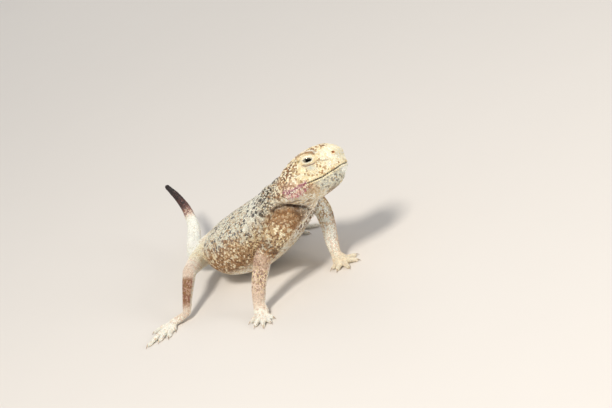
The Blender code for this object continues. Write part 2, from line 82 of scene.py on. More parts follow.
def resample(rows, numbers):
    # Cubic through the rows, read at fractional row numbers.
    rows = np.array(rows, float)
    slopes = np.gradient(rows, axis=0)
    numbers = np.asarray(numbers, float)
    k = np.clip(np.floor(numbers).astype(int), 0, len(rows) - 2)
    t = (numbers - k)[:, None]
    return ((2 * t**3 - 3 * t**2 + 1) * rows[k] + (t**3 - 2 * t**2 + t) * slopes[k]
            + (-2 * t**3 + 3 * t**2) * rows[k + 1] + (t**3 - t**2) * slopes[k + 1])


def latticeRandom(cells, seed):
    h = cells.astype(np.int64) @ np.array((73856093, 19349663, 83492791), np.int64) + seed * 1013904223
    h = (h ^ (h >> 13)) * 1274126177
    return ((h ^ (h >> 16)) & 0xFFFFFF) / float(0xFFFFFF)


def softNoise(points, size, seed):
    # Smooth value noise with lumps about `size` across, from 0 to 1.
    p = np.asarray(points) / size
    base = np.floor(p)
    f = p - base
    f = f * f * (3 - 2 * f)
    total = np.zeros(len(p))
    for corner in range(8):
        o = np.array([(corner >> b) & 1 for b in range(3)])
        weight = np.prod(np.where(o, f, 1 - f), axis=1)
        total += weight * latticeRandom(base + o, seed)
    return total


def layeredNoise(points, size, seed):
    total, norm = np.zeros(len(points)), 0.0
    for k in range(3):
        total += softNoise(points, size / 2**k, seed + 17 * k) * 0.6**k
        norm += 0.6**k
    return total / norm


def cellSpots(points, size, seed):
    # Distance to the nearest jittered cell point, in cells, and that cell's own random number.
    p = np.asarray(points) / size
    base = np.floor(p)
    best = np.full(len(p), 9.0)
    tag = np.zeros(len(p))
    for i in (-1, 0, 1):
        for j in (-1, 0, 1):
            for k in (-1, 0, 1):
                cell = base + (i, j, k)
                jitter = np.stack([latticeRandom(cell, seed + s) for s in (1, 2, 3)], 1)
                d = np.linalg.norm(cell + jitter - p, axis=1)
                closer = d < best
                best = np.where(closer, d, best)
                tag = np.where(closer, latticeRandom(cell, seed + 4), tag)
    return best, tag


def linearColour(colour):
    c = np.asarray(colour, float)
    return np.where(c <= 0.04045, c / 12.92, ((c + 0.055) / 1.055) ** 2.4)


def mirrored(v, hand):
    return np.array(v) * (1, hand, 1)


def clumps(points, size, seed):
    return np.clip((layeredNoise(points, size, seed) - 0.5) * 2.1 + 0.5, 0, 1)


def linked(name, data):
    item = bpy.data.objects.new(name, data)
    bpy.context.scene.collection.objects.link(item)
    return item


def evaluated(item):
    # The mesh with its modifiers worked in; the object itself goes.
    mesh = bpy.data.meshes.new_from_object(item.evaluated_get(bpy.context.evaluated_depsgraph_get()))
    bpy.data.objects.remove(item)
    return mesh


def ringFaces(rings, sides, first=0):
    faces = []
    for r in range(rings - 1):
        low, high = first + r * sides, first + (r + 1) * sides
        faces += [(low + j, low + (j + 1) % sides, high + (j + 1) % sides, high + j) for j in range(sides)]
    return faces


def tintMesh(mesh, colours):
    # Gives every point its colour and smooths the shading.
    layer = mesh.color_attributes.new("tint", "FLOAT_COLOR", "POINT")
    layer.data.foreach_set("color", np.column_stack([colours, np.ones(len(colours))]).ravel())
    mesh.polygons.foreach_set("use_smooth", np.ones(len(mesh.polygons), bool))


def turnOutward(mesh, merge=0.0):
    work = bmesh.new()
    work.from_mesh(mesh)
    if merge:
        bmesh.ops.remove_doubles(work, verts=work.verts, dist=merge)
    bmesh.ops.recalc_face_normals(work, faces=work.faces)
    work.to_mesh(mesh)
    work.free()


def mathsIn(tree):
    # Maths nodes of one tree, fed by numbers or by other nodes' outputs.
    def maths(kind, *values):
        node = tree.nodes.new("ShaderNodeMath")
        node.operation = kind
        for socket, value in zip(node.inputs, values):
            if isinstance(value, (int, float)):
                socket.default_value = value
            else:
                tree.links.new(value, socket)
        return node.outputs[0]
    return maths


# The body's own measures.

# x, y, z, half width, height above, height below, from the nape to the tail's end
trunkRows = np.array([
    (10.4, 0.9, 30.4, 5.7, 4.0, 5.6), (6.8, -0.3, 28.3, 7.0, 5.1, 7.2), (2.8, -1.0, 25.2, 8.7, 6.9, 7.4),
    (-2.4, -1.0, 21.4, 10.9, 8.7, 7.6), (-10.0, -1.6, 16.8, 13.0, 9.7, 9.0),
    (-19.0, -2.6, 13.2, 14.6, 10.0, 10.2),
    (-28.0, -3.6, 10.8, 14.3, 9.5, 9.8), (-35.5, -3.7, 9.7, 12.0, 8.1, 8.3),
    (-41.5, -3.7, 9.0, 8.2, 6.1, 6.1),
    (-47.2, -4.7, 8.3, 5.6, 4.4, 4.3), (-53.0, -5.9, 7.3, 4.3, 3.2, 3.2), (-58.2, -3.9, 6.8, 3.0, 2.5, 2.5),
    (-63.6, 0.8, 7.4, 2.6, 2.25, 2.2), (-67.8, 5.4, 9.2, 2.2, 2.0, 2.0), (-72.2, 8.8, 11.3, 1.85, 1.75, 1.7),
    (-77.4, 12.0, 13.6, 1.6, 1.5, 1.5), (-83.2, 14.6, 16.1, 1.35, 1.3, 1.3),
    (-89.4, 16.8, 18.6, 1.0, 0.95, 0.95),
])

# x, half width, top, bottom of the head in its own axes, snout first
skullRows = [
    (8.7, 1.9, 2.6, -1.0), (8.1, 3.0, 4.7, -2.1), (6.8, 4.2, 7.4, -3.1), (4.8, 5.4, 9.0, -4.1),
    (2.4, 6.4, 9.4, -4.9), (-0.4, 7.5, 9.0, -5.7), (-3.4, 8.9, 8.1, -6.5), (-6.4, 9.7, 6.8, -7.0),
    (-9.0, 9.2, 5.2, -7.1), (-11.4, 7.7, 3.6, -6.7),
]

limbRows = {
    "arm_right": dict(
        upper=[(5.0, -5.5, 22.4, 4.9), (4.1, -12.4, 19.4, 4.1), (0.4, -20.2, 14.4, 2.75)],
        lower=[(0.4, -20.4, 14.2, 2.75), (-0.8, -24.2, 9.0, 2.4), (-1.5, -27.4, 3.4, 1.95)],
        palm=[(-1.5, -27.4, 3.2, 1.95), (-0.3, -28.7, 1.9, 2.45), (1.0, -29.8, 1.45, 2.4)],
        digits=[(6.8, -30.0), (8.0, -32.6), (6.6, -35.0), (2.2, -35.2), (-2.2, -33.4)],
    ),
    "arm_left": dict(
        upper=[(0.2, 4.6, 21.4, 4.2), (2.6, 6.1, 15.6, 2.9), (5.7, 3.4, 10.8, 2.45)],
        lower=[(5.7, 3.3, 10.6, 2.45), (6.2, 1.5, 6.8, 2.15), (7.6, -0.4, 3.2, 1.75)],
        palm=[(7.6, -0.4, 3.0, 1.8), (8.8, -1.0, 1.9, 2.4), (10.0, -1.4, 1.45, 2.4)],
        digits=[(8.0, -5.2), (11.6, -5.9), (15.8, -4.0), (16.0, 0.6), (12.4, 3.6)],
    ),
    "leg_right": dict(
        upper=[(-44.0, -5.0, 9.0, 4.3), (-41.2, -14.5, 10.2, 3.2), (-35.7, -23.3, 11.4, 2.15)],
        lower=[(-35.6, -23.5, 11.3, 2.15), (-34.3, -28.2, 7.0, 1.8), (-32.9, -32.6, 2.7, 1.4)],
        palm=[(-32.9, -32.7, 2.5, 1.4), (-35.2, -34.6, 1.6, 1.75), (-37.2, -36.6, 1.15, 1.85)],
        digits=[(-32.6, -39.6), (-32.2, -43.4), (-34.8, -45.8), (-37.8, -48.6), (-42.8, -41.6)],
    ),
    "leg_left": dict(
        upper=[(-43.0, -0.5, 9.0, 4.3), (-39.5, 10.5, 10.2, 3.2), (-32.5, 19.0, 11.4, 2.15)],
        lower=[(-32.5, 19.2, 11.3, 2.15), (-36.6, 18.4, 7.0, 1.8), (-40.4, 16.9, 2.7, 1.4)],
        palm=[(-40.4, 16.8, 2.5, 1.4), (-37.0, 16.6, 1.5, 1.75), (-33.6, 16.4, 1.15, 1.85)],
        digits=[(-28.0, 11.2), (-24.2, 11.6), (-21.4, 14.8), (-20.2, 19.8), (-29.4, 22.6)],
    ),
}

headPose = dict(at=(14.7, 2.9, 29.2), yaw=25.0, pitch=3.0, roll=20.0)  # degrees; roll lowers the left side
mouthLine = [(14.0, 1.5), (8.8, 1.0), (6.2, 0.2), (3.2, -0.6), (-1.3, -0.85)]  # x and level, head axes
digitRadii = {"arm": (0.98, 0.66), "leg": (0.92, 0.62)}
flapSizes = dict(path=((-1.2, -1.3, 0.6), (-2.7, -1.7, 1.2), (-4.7, -2.0, 1.6), (-6.7, -1.8, 1.4),
                       (-8.2, -1.1, 0.7)),
                 thickness=0.62, standOff=0.95)


def headTurn():
    yaw, pitch, roll = (math.radians(headPose[k]) for k in ("yaw", "pitch", "roll"))
    c, s = math.cos(yaw), math.sin(yaw)
    aboutZ = np.array([(c, -s, 0), (s, c, 0), (0, 0, 1)])
    c, s = math.cos(pitch), math.sin(pitch)
    aboutY = np.array([(c, 0, -s), (0, 1, 0), (s, 0, c)])
    c, s = math.cos(roll), math.sin(roll)
    aboutX = np.array([(1, 0, 0), (0, c, s), (0, -s, c)])
    return aboutZ @ aboutY @ aboutX


headMatrix = headTurn()
headOrigin = np.array(headPose["at"]) + frameShift


def fromHead(points):
    return np.asarray(points, float) @ headMatrix.T + headOrigin


def toHead(points):
    return (np.asarray(points, float) - headOrigin) @ headMatrix


def mouthLevel(x):
    return np.interp(x, [r[0] for r in reversed(mouthLine)], [r[1] for r in reversed(mouthLine)])


def makeAxis(name, kind, rows, upward=(0, 0, 1), turned=False):
    # rows: x, y, z, half width, above, below. Frames run from the body outwards.
    rows = np.array(rows, float)
    along = unit(np.gradient(rows[:, :3], axis=0))
    side = unit(np.cross(np.array(upward, float), along))
    top = np.cross(along, side)
    centre = rows[:, :3] + (0 if turned else frameShift)
    if turned:
        centre, along = fromHead(centre), along @ headMatrix.T
        side, top = side @ headMatrix.T, top @ headMatrix.T
    steps = np.r_[0, np.cumsum(np.linalg.norm(np.diff(centre, axis=0), axis=1))]
    return dict(name=name, kind=kind, centre=centre, along=along, side=side, top=top,
                width=rows[:, 3], above=rows[:, 4], below=rows[:, 5], run=steps)


def roundRows(rows, count, flatten=1.0):
    rows = resample(rows, np.linspace(0, len(rows) - 1, count))
    return np.column_stack([rows, rows[:, 3] * flatten, rows[:, 3] * flatten])


def sideOf(x, z):
    xs = [r[0] for r in reversed(skullRows)]
    width, top, bottom = (np.interp(x, xs, [r[c] for r in reversed(skullRows)]) for c in (1, 2, 3))
    middle = 0.35 * top + 0.65 * bottom + 2.2
    reach = np.where(z > middle, top - middle, middle - bottom)
    return width * np.sqrt(np.maximum(0.05, 1 - ((z - middle) / reach) ** 2))


def digitPath(kind, root, tip):
    startRadius, endRadius = digitRadii[kind]
    out = np.array(tip) - root
    span = np.linalg.norm(out)
    marks = [(0.10, 1.10, startRadius), (0.45, 0.96, startRadius * 0.98), (0.78, 0.66, endRadius * 1.05),
             (1.0 - 1.14 / span, 0.50, endRadius)]
    return [(*(root + out * share), z, radius) for share, z, radius in marks], out / span


def buildAxes():
    axes = []
    full = resample(trunkRows, np.linspace(0, 17, 137))
    axes.append(makeAxis("trunk", "trunk", full))
    skull = []
    for x, width, top, bottom in skullRows:
        middle = 0.35 * top + 0.65 * bottom + 2.2
        skull.append((x, 0.0, middle, width, top - middle, middle - bottom))
    axes.append(makeAxis("head", "head", resample(skull, np.linspace(0, 9, 40)), turned=True))
    for hand, tag in ((1, "left"), (-1, "right")):
        rows = []
        for x, z, tall in flapSizes["path"]:
            y = float(sideOf(x, z)) + flapSizes["standOff"]
            rows.append((x, hand * y, z, flapSizes["thickness"], tall, tall))
        axes.append(makeAxis("flap_" + tag, "flap", resample(rows, np.linspace(0, 4, 25)), turned=True))
    for label, spec in limbRows.items():
        kind = label.split("_")[0]
        axes.append(makeAxis(label + "_upper", kind + "Upper", roundRows(spec["upper"], 24), (1, 0, 0)))
        axes.append(makeAxis(label + "_lower", kind + "Lower", roundRows(spec["lower"], 18), (1, 0, 0)))
        axes.append(makeAxis(label + "_palm", kind + "Palm", roundRows(spec["palm"], 10, 0.72)))
        root = np.array(spec["palm"][-1][:2])
        for k, tip in enumerate(spec["digits"]):
            path, _ = digitPath(kind, root, tip)
            axes.append(makeAxis(label + "_digit%d" % k, kind + "Digit", roundRows(path, 16)))
    return axes


axes = buildAxes()


def measureOn(axis, points):
    # Nearest frame of one axis: distance from its surface, run along it, angle round it.
    d = points[:, None, :] - axis["centre"][None]
    k = np.argmin((d**2).sum(2), axis=1)
    rel = points - axis["centre"][k]
    s = (rel * axis["along"][k]).sum(1)
    u = (rel * axis["side"][k]).sum(1)
    v = (rel * axis["top"][k]).sum(1)
    width = axis["width"][k]
    height = np.where(v > 0, axis["above"][k], axis["below"][k])
    past = np.where((k == 0) & (s < 0), -s, np.where((k == len(axis["run"]) - 1) & (s > 0), s, 0.0))
    reach = np.minimum(width, height)
    rho = np.sqrt((u / width) ** 2 + (v / height) ** 2 + (past / reach) ** 2)
    return (rho - 1) * reach, axis["run"][k] + s, np.arctan2(v / height, u / width), k


def locate(points):
    # Which part each point belongs to, with its run, angle and outward lie.
    points = np.asarray(points, float)
    gaps = np.full((len(axes), len(points)), 99.0)
    runs, angles, places = (np.zeros_like(gaps) for _ in range(3))
    for i, axis in enumerate(axes):
        low = axis["centre"].min(0) - 16
        high = axis["centre"].max(0) + 16
        near = np.nonzero(((points > low) & (points < high)).all(1))[0]
        for part in np.array_split(near, max(1, len(near) // 20000)):
            if len(part):
                gaps[i, part], runs[i, part], angles[i, part], places[i, part] = measureOn(axis, points[part])
    owner = np.argmin(gaps, axis=0)
    lie = np.zeros((len(points), 3))
    for i, axis in enumerate(axes):
        mine = owner == i
        lie[mine] = axis["along"][places[i, mine].astype(int)]
    return dict(owner=owner, gaps=gaps, lie=lie, runs=runs, angles=angles)


axisIndex = {axis["name"]: i for i, axis in enumerate(axes)}
kindOf = np.array([axis["kind"] for axis in axes])
print("axes", len(axes))


# Shells that the skin is cast from.

skinSizes = dict(coatDepth=0.2, voxel=0.235, smoothing=5, faces=186000, floorGap=0.12)


def tubeShell(axis, sides, domes=(0.95, 0.95), squareness=2.0, shrink=0.0, rings=6):
    n = len(axis["run"])
    angle = 2 * np.pi * np.arange(sides) / sides
    c, s = np.cos(angle), np.sin(angle)
    power = 2.0 / squareness
    cu, sv = np.sign(c) * np.abs(c) ** power, np.sign(s) * np.abs(s) ** power
    turns = np.radians(np.linspace(78, 14, rings))
    plan = [(0, math.cos(t), -math.sin(t) * domes[0]) for t in turns]
    plan += [(k, 1.0, 0.0) for k in range(n)]
    plan += [(n - 1, math.cos(t), math.sin(t) * domes[1]) for t in turns[::-1]]
    points = []
    for k, factor, push in plan:
        width = axis["width"][k] - shrink
        high = np.where(s > 0, axis["above"][k], axis["below"][k]) - shrink
        shift = push * min(axis["width"][k], axis["above"][k])
        points.append(axis["centre"][k] + axis["along"][k] * shift + axis["side"][k]
                      * (cu * width * factor)[:, None]
                      + axis["top"][k] * (sv * high * factor)[:, None])
    ends = [axis["centre"][0] - axis["along"][0] * domes[0] * min(axis["width"][0], axis["above"][0]),
            axis["centre"][-1] + axis["along"][-1] * domes[1] * min(axis["width"][-1], axis["above"][-1])]
    verts = np.vstack(points + [np.array(ends)])
    count = len(plan)
    faces = ringFaces(count, sides)
    pole, base = count * sides, (count - 1) * sides
    faces += [(pole, (j + 1) % sides, j) for j in range(sides)]
    faces += [(pole + 1, base + j, base + (j + 1) % sides) for j in range(sides)]
    return verts, faces


def freeTube(rows):
    full = roundRows(rows, 6 * (len(rows) - 1) + 1)
    return tubeShell(makeAxis("loose", "loose", full, turned=True), 16)


def ballShell(centre, radius, rings=18, sides=28):
    theta = np.pi * np.arange(1, rings) / rings
    phi = 2 * np.pi * np.arange(sides) / sides
    grid = np.stack([np.sin(theta)[:, None] * np.cos(phi), np.sin(theta)[:, None] * np.sin(phi),
                     np.repeat(np.cos(theta)[:, None], sides, 1)], 2).reshape(-1, 3)
    verts = np.vstack([grid, (0, 0, 1), (0, 0, -1)]) * radius + centre
    faces = [(a, d, c, b) for a, b, c, d in ringFaces(rings - 1, sides)]
    top, bottom, last = (rings - 1) * sides, (rings - 1) * sides + 1, (rings - 2) * sides
    faces += [(top, j, (j + 1) % sides) for j in range(sides)]
    faces += [(bottom, last + (j + 1) % sides, last + j) for j in range(sides)]
    return fromHead(verts), faces


eyeSizes = dict(centre=(0.6, 5.1, 5.1), radius=2.3, lidRadius=2.84, halfLength=1.60, upperRise=0.58,
                lowerDrop=0.86, bluntness=2.3, pocket=0.9, out=(0.30, 0.93, 0.20),
                forward=(0.97, -0.24, -0.10))
ridgeRows = dict(
    brow=[(5.8, 3.4, 5.4, 0.4), (4.2, 4.6, 6.5, 0.6), (2.7, 6.0, 7.2, 0.7), (0.5, 6.9, 7.4, 0.8),
          (-1.9, 7.2, 6.7, 0.6), (-3.4, 6.6, 5.6, 0.4)],
    cheek=[(4.4, 4.1, 3.2, 0.9), (2.0, 5.6, 2.4, 1.1), (-1.0, 6.9, 2.2, 1.2), (-4.0, 7.7, 2.4, 1.2)],
)
nostrilSizes = dict(aim=(6.55, 1.8, 4.5), start=(4.2, 0.0, 3.2), radius=0.40, depth=0.6)


def eyeAxes(hand):
    out = unit(mirrored(eyeSizes["out"], hand))
    forward = mirrored(eyeSizes["forward"], hand)
    forward = unit(forward - out * forward.dot(out))
    upward = np.cross(out, forward)
    return out, forward, upward * np.sign(upward[2])


def skinShells():
    depth = skinSizes["coatDepth"]
    shells = []
    for axis in axes:
        kind = axis["kind"]
        if kind == "trunk":
            shells.append(tubeShell(axis, 72, (0.0, 1.0), 2.12, depth))
        elif kind == "head":
            shells.append(tubeShell(axis, 72, (0.5, 0.2), 2.25, depth))
        elif kind == "flap":
            shells.append(tubeShell(axis, 24, (0.7, 0.7)))
        elif kind.endswith("Digit"):
            shells.append(tubeShell(axis, 16, (0.2, 0.9), 2.0, depth * 0.5))
        elif kind.endswith("Palm"):
            shells.append(tubeShell(axis, 28, (0.9, 0.9), 2.0, depth * 0.7))
        else:
            shells.append(tubeShell(axis, 36, (0.95, 0.95), 2.0, depth))
    for hand in (1, -1):
        shells.append(ballShell(mirrored(eyeSizes["centre"], hand), eyeSizes["lidRadius"]))
        for rows in ridgeRows.values():
            shells.append(freeTube([(x, y * hand, z, r) for x, y, z, r in rows]))
    return shells


def meshFrom(name, verts, faces):
    mesh = bpy.data.meshes.new(name)
    mesh.from_pydata([tuple(v) for v in verts], [], faces)
    mesh.update()
    return mesh


def castSkin():
    verts, faces, start = [], [], 0
    for v, f in skinShells():
        verts.append(v)
        faces += [tuple(i + start for i in face) for face in f]
        start += len(v)
    mesh = meshFrom("skinCast", np.vstack(verts), faces)
    cast = linked("skinCast", mesh)
    step = cast.modifiers.new("weld", "REMESH")
    step.mode = "VOXEL"
    step.voxel_size = skinSizes["voxel"]
    step.adaptivity = 0.0
    return evaluated(cast)


def arraysOf(mesh):
    co = np.zeros(len(mesh.vertices) * 3)
    mesh.vertices.foreach_get("co", co)
    edges = np.zeros(len(mesh.edges) * 2, int)
    mesh.edges.foreach_get("vertices", edges)
    return co.reshape(-1, 3), edges.reshape(-1, 2)


def relax(co, edges, rounds, share, weight):
    n = len(co)
    count = np.bincount(edges.ravel(), minlength=n)[:, None]
    for _ in range(rounds):
        total = np.zeros_like(co)
        for axis in range(3):
            total[:, axis] = (np.bincount(edges[:, 0], co[edges[:, 1], axis], n)
                              + np.bincount(edges[:, 1], co[edges[:, 0], axis], n))
        co = co + (total / np.maximum(count, 1) - co) * share * weight[:, None]
    return co


def normalsOf(mesh, co):
    mesh.vertices.foreach_set("co", co.ravel())
    mesh.update()
    normals = np.zeros(len(co) * 3)
    mesh.vertices.foreach_get("normal", normals)
    return normals.reshape(-1, 3)


def lidReach(ca, cb):
    # How far the opening between the lids reaches in a direction across the eye.
    n = eyeSizes["bluntness"]
    high = np.where(cb > 0, eyeSizes["upperRise"], eyeSizes["lowerDrop"])
    return (np.abs(ca / eyeSizes["halfLength"]) ** n + np.abs(cb / high) ** n) ** (-1 / n)


def lidEdge(local, hand):
    # Distance inside the opening between the lids, in millimetres over the ball, and the side coordinates.
    out, forward, upward = eyeAxes(hand)
    rel = local - mirrored(eyeSizes["centre"], hand)
    reach = np.linalg.norm(rel, axis=1)
    q = unit(rel) * eyeSizes["lidRadius"]
    a, b, facing = q @ forward, q @ upward, q @ out
    across = np.hypot(a, b) + 1e-6
    arc = eyeSizes["lidRadius"] * np.arccos(np.clip(facing / eyeSizes["lidRadius"], -1, 1))
    return lidReach(a / across, b / across) - arc, a, b, reach, rel, facing


def lidArcs(a, b, reach, facing):
    # Marks round the lids, in millimetres over the ball: groove and ridge above, crease and patch below.
    across = np.hypot(a, b) + 1e-6
    arc = eyeSizes["lidRadius"] * np.arccos(np.clip(facing / eyeSizes["lidRadius"], -1, 1))
    a, b = a / across * arc, b / across * arc
    near = (reach < 5.6) * (facing > -0.6) * smooth(-4.1, -3.2, a) * smooth(3.0, 2.1, a)
    groove = bump(b, 1.80 - 0.09 * a * a, 0.22) * near
    ridge = bump(b, 2.42 - 0.12 * a * a, 0.30) * near
    crease = bump(b, -1.92 + 0.08 * a * a, 0.25) * near * smooth(2.9, 2.2, np.abs(a))
    patch = bump(a, 0.5, 1.5) * bump(b, -2.6, 0.42) * near
    return groove, ridge, crease, patch


foldSizes = dict(gularRun=15.6, gularRise=0.55, neckFolds=((11.2, 0.28), (13.4, 0.34)), wrinkle=0.10)


def softFace(local):
    # Where the brow and cheek ridges melt into the face.
    x, y, z = local.T
    face = smooth(7.5, 6.0, x) * smooth(-9.0, -7.0, x) * smooth(1.0, 1.8, z) * smooth(2.5, 3.4, np.abs(y))
    chin = smooth(4.0, 5.5, x) * smooth(-0.1, -0.7, z - mouthLevel(x))
    return np.maximum(face, chin)


def sculptSkin(mesh):
    co, edges = arraysOf(mesh)
    place = locate(co)
    gaps = place["gaps"]
    two = np.sort(gaps, axis=0)[:2]
    joint = smooth(2.2, 0.0, np.abs(two[0] - two[1])) * smooth(1.9, 0.6, np.abs(two[1]))
    headness = gaps[axisIndex["head"]] < 1.6
    slow = np.where(headness, 0.25, 0.6) + 0.4 * joint
    co = relax(co, edges, skinSizes["smoothing"], 0.5, np.clip(slow, 0, 1))
    co = relax(co, edges, 30, 0.6, softFace(toHead(co)) * headness)
    crease = joint * np.where(headness, 0.0, 1.0)
    digits = np.char.endswith(kindOf[place["owner"]], "Digit")
    crease = np.where(digits, crease * 0.3, crease)
    armBeside = np.minimum(*(np.abs(gaps[axisIndex[label + "_upper"]] - gaps[axisIndex["trunk"]])
                             for label in ("arm_left", "arm_right")))
    crease *= 1 - 0.65 * smooth(1.4, 0.5, armBeside)
    co = relax(co, edges, 26, 0.6, crease)
    normals = normalsOf(mesh, co)
    local = toHead(co)
    nearHead = gaps[axisIndex["head"]] < 1.2
    lift = np.zeros(len(co))

    # Mouth line and lips.
    x, y, z = local.T
    away = z - mouthLevel(x)
    mouth = nearHead * smooth(-1.9, -0.9, x)
    lift += mouth * (-0.45 * bump(away, 0, 0.17) + 0.16 * bump(np.abs(away), 0.6, 0.34))
    # Frontal hollow between the brows.
    lift -= nearHead * 0.35 * bump(y, 0, 1.7) * smooth(-4.0, 0.0, x) * smooth(7.5, 4.5, x) * smooth(4, 6.5, z)
    # Skin folds of the throat and neck, counted along the trunk from the nape's hidden start.
    trunk = axisIndex["trunk"]
    run, angle = place["runs"][trunk], place["angles"][trunk]
    onTrunk = smooth(1.2, 0.5, np.abs(gaps[trunk])) * (place["owner"] == trunk)
    wave = 0.8 * (softNoise(co, 6.0, 5) - 0.5)
    below = smooth(0.35, -0.35, np.sin(angle))
    fold = run - foldSizes["gularRun"] + 2.6 * wave + 1.2 * np.sin(angle)
    lift += onTrunk * below * foldSizes["gularRise"] * (bump(fold, 0, 0.75) - 0.75 * bump(fold, 1.35, 0.5))
    for where, rise in foldSizes["neckFolds"]:
        fold = run - where + 3.0 * wave + 0.8 * np.cos(angle)
        lift += onTrunk * rise * (bump(fold, 0, 0.6) - 0.8 * bump(fold, 1.0, 0.4)) * smooth(0.8, 0.1,
                                                                                            np.sin(angle))
    # The groove behind the jowl with the loose fold that follows it.
    beside = np.sort(np.delete(gaps, axisIndex["head"], axis=0), axis=0)[0] - gaps[axisIndex["head"]]
    jowl = smooth(-6.0, -8.5, x) * smooth(3.5, 1.0, z) * (np.abs(gaps[axisIndex["head"]]) < 3.5)
    lift += jowl * (-0.55 * bump(beside, -0.25, 0.5) + 0.35 * bump(beside, -1.7, 0.6) - 0.25
                    * bump(beside, -2.7, 0.45))
    # A fold line where each upper arm lies against the body.
    meet = smooth(2.0, 1.0, np.abs(gaps[axisIndex["trunk"]])) * (armBeside < 3)
    lift += meet * (-0.42 * bump(armBeside, 0.0, 0.40) + 0.14
                    * bump(armBeside, 1.0, 0.4)) * smooth(0.75, 0.4, np.sin(angle))
    # Loose folds round the back of each shoulder.
    for label in ("arm_left", "arm_right"):
        joint0 = axes[axisIndex[label + "_upper"]]["centre"][0]
        ring = np.linalg.norm((co - joint0) * (1.0, 0.8, 1.0), axis=1) + 2.2 * wave
        loose = onTrunk * smooth(joint0[0] - 1.0, joint0[0] - 5.0, co[:, 0]) * smooth(-0.6, -0.2,
                                                                                      np.sin(angle))
        for where in (7.4, 9.4, 11.6):
            lift += loose * (0.26 * bump(ring, where, 0.55) - 0.22 * bump(ring, where + 1.0, 0.4))
    # Fine wrinkles where the limbs bend, and low lumps over the whole body.
    stretch = layeredNoise(co * (1.0, 0.55, 1.0), 1.3, 11) - 0.5
    body = np.where(nearHead, 0.35, 1.0) * np.where(digits, 0.3, 1.0)
    lift += body * (0.25 * (softNoise(co, 5.0, 3) - 0.5) + foldSizes["wrinkle"] * stretch
                    * (0.6 + 2.0 * joint))
    co = co + normals * lift[:, None]

    # Lids: the skin turns in round the opening, with shallow rings beyond its edge.
    local = toHead(co)
    for hand in (1, -1):
        inside, a, b, reach, rel, facing = lidEdge(local, hand)
        cup = (reach < eyeSizes["lidRadius"] + 0.7) * (facing > 0.6)
        sink = smooth(-0.04, 0.30, inside) * cup
        groove, ridge, crease, _ = lidArcs(a, b, reach, facing)
        rings = 0.10 * bump(inside, -0.16, 0.14) - 0.05 * bump(inside, -0.6, 0.12)
        rings += 0.16 * ridge - 0.15 * groove - 0.20 * crease
        fresh = reach * (1 - sink) + eyeSizes["pocket"] * sink + rings * cup * (1 - sink)
        local = np.where(cup[:, None], mirrored(eyeSizes["centre"], hand) + unit(rel) * fresh[:, None], local)
    co = fromHead(local)
    tree = BVHTree.FromPolygons([tuple(v) for v in co], [tuple(p.vertices) for p in mesh.polygons])
    spots = []
    for hand in (1, -1):
        out = unit(mirrored(nostrilSizes["aim"], hand) - np.array(nostrilSizes["start"]))
        start, heading = Vector(fromHead(nostrilSizes["start"])), Vector(out @ headMatrix.T)
        hit = tree.ray_cast(start + heading * 8.0, -heading)[0]
        spots.append((np.array(hit), np.array(heading)))
    for spot, out in spots:
        rel = co - spot
        deep = rel @ out
        across = np.linalg.norm(rel - deep[:, None] * out, axis=1)
        near = np.abs(deep) < 1.5
        push = -nostrilSizes["depth"] * smooth(nostrilSizes["radius"] + 0.12, nostrilSizes["radius"] - 0.2,
                                               across)
        push += 0.2 * bump(across, nostrilSizes["radius"] + 0.3, 0.24)
        co = co + out * (push * near)[:, None]
    co[:, 2] = np.maximum(co[:, 2], skinSizes["floorGap"])
    mesh.vertices.foreach_set("co", co.ravel())
    mesh.update()
    return spots


def thinSkin(mesh):
    # Fewer faces on the body; the head keeps nearly all of its own.
    item = linked("skinThin", mesh)
    co, _ = arraysOf(mesh)
    keep = np.nonzero(measureOn(axes[axisIndex["head"]], co)[0] < 1.5)[0]
    group = item.vertex_groups.new(name="body")
    group.add(list(range(len(co))), 1.0, "REPLACE")
    group.add([int(i) for i in keep], 0.02, "REPLACE")
    mesh.calc_loop_triangles()
    step = item.modifiers.new("thin", "DECIMATE")
    step.ratio = min(1.0, skinSizes["faces"] / len(mesh.loop_triangles))
    step.vertex_group = "body"
    step.vertex_group_factor = 1.0
    return evaluated(item)


skinMesh = castSkin()
print("skin cast", len(skinMesh.polygons))
nostrils = sculptSkin(skinMesh)
skinMesh = thinSkin(skinMesh)
skinMesh.calc_loop_triangles()
print("skin thinned", len(skinMesh.loop_triangles))


# Colours, shared by the skin and its scales.

tones = dict(
    bone=(0.89, 0.86, 0.77), cream=(0.89, 0.80, 0.65), yellowCream=(0.92, 0.84, 0.66),
    white=(0.95, 0.93, 0.88),
    tan=(0.72, 0.58, 0.42), golden=(0.64, 0.46, 0.28), brown=(0.46, 0.31, 0.19), umber=(0.25, 0.19, 0.16),
    soot=(0.14, 0.11, 0.10), slate=(0.53, 0.52, 0.52), greyWhite=(0.80, 0.78, 0.72), rust=(0.68, 0.40, 0.19),
    pink=(0.90, 0.74, 0.71), magenta=(0.60, 0.27, 0.42), rose=(0.80, 0.46, 0.50), skinPink=(0.90, 0.80, 0.72),
    violet=(0.56, 0.42, 0.40), greyPink=(0.72, 0.58, 0.49), plum=(0.25, 0.16, 0.15), ink=(0.10, 0.07, 0.07),
    redBrown=(0.56, 0.37, 0.30), stone=(0.58, 0.55, 0.50), chalk=(0.90, 0.89, 0.83),
    maroon=(0.36, 0.20, 0.17),
    bronze=(0.55, 0.39, 0.23),
    ivory=(0.95, 0.91, 0.80), butter=(0.94, 0.87, 0.70), orange=(0.74, 0.45, 0.20), coal=(0.30, 0.29, 0.30),
    snow=(0.97, 0.96, 0.92), bluish=(0.80, 0.81, 0.77),
)
tones = {name: linearColour(value) for name, value in tones.items()}


def mixed(a, b, t):
    t = np.asarray(t)[:, None]
    return a * (1 - t) + b * t


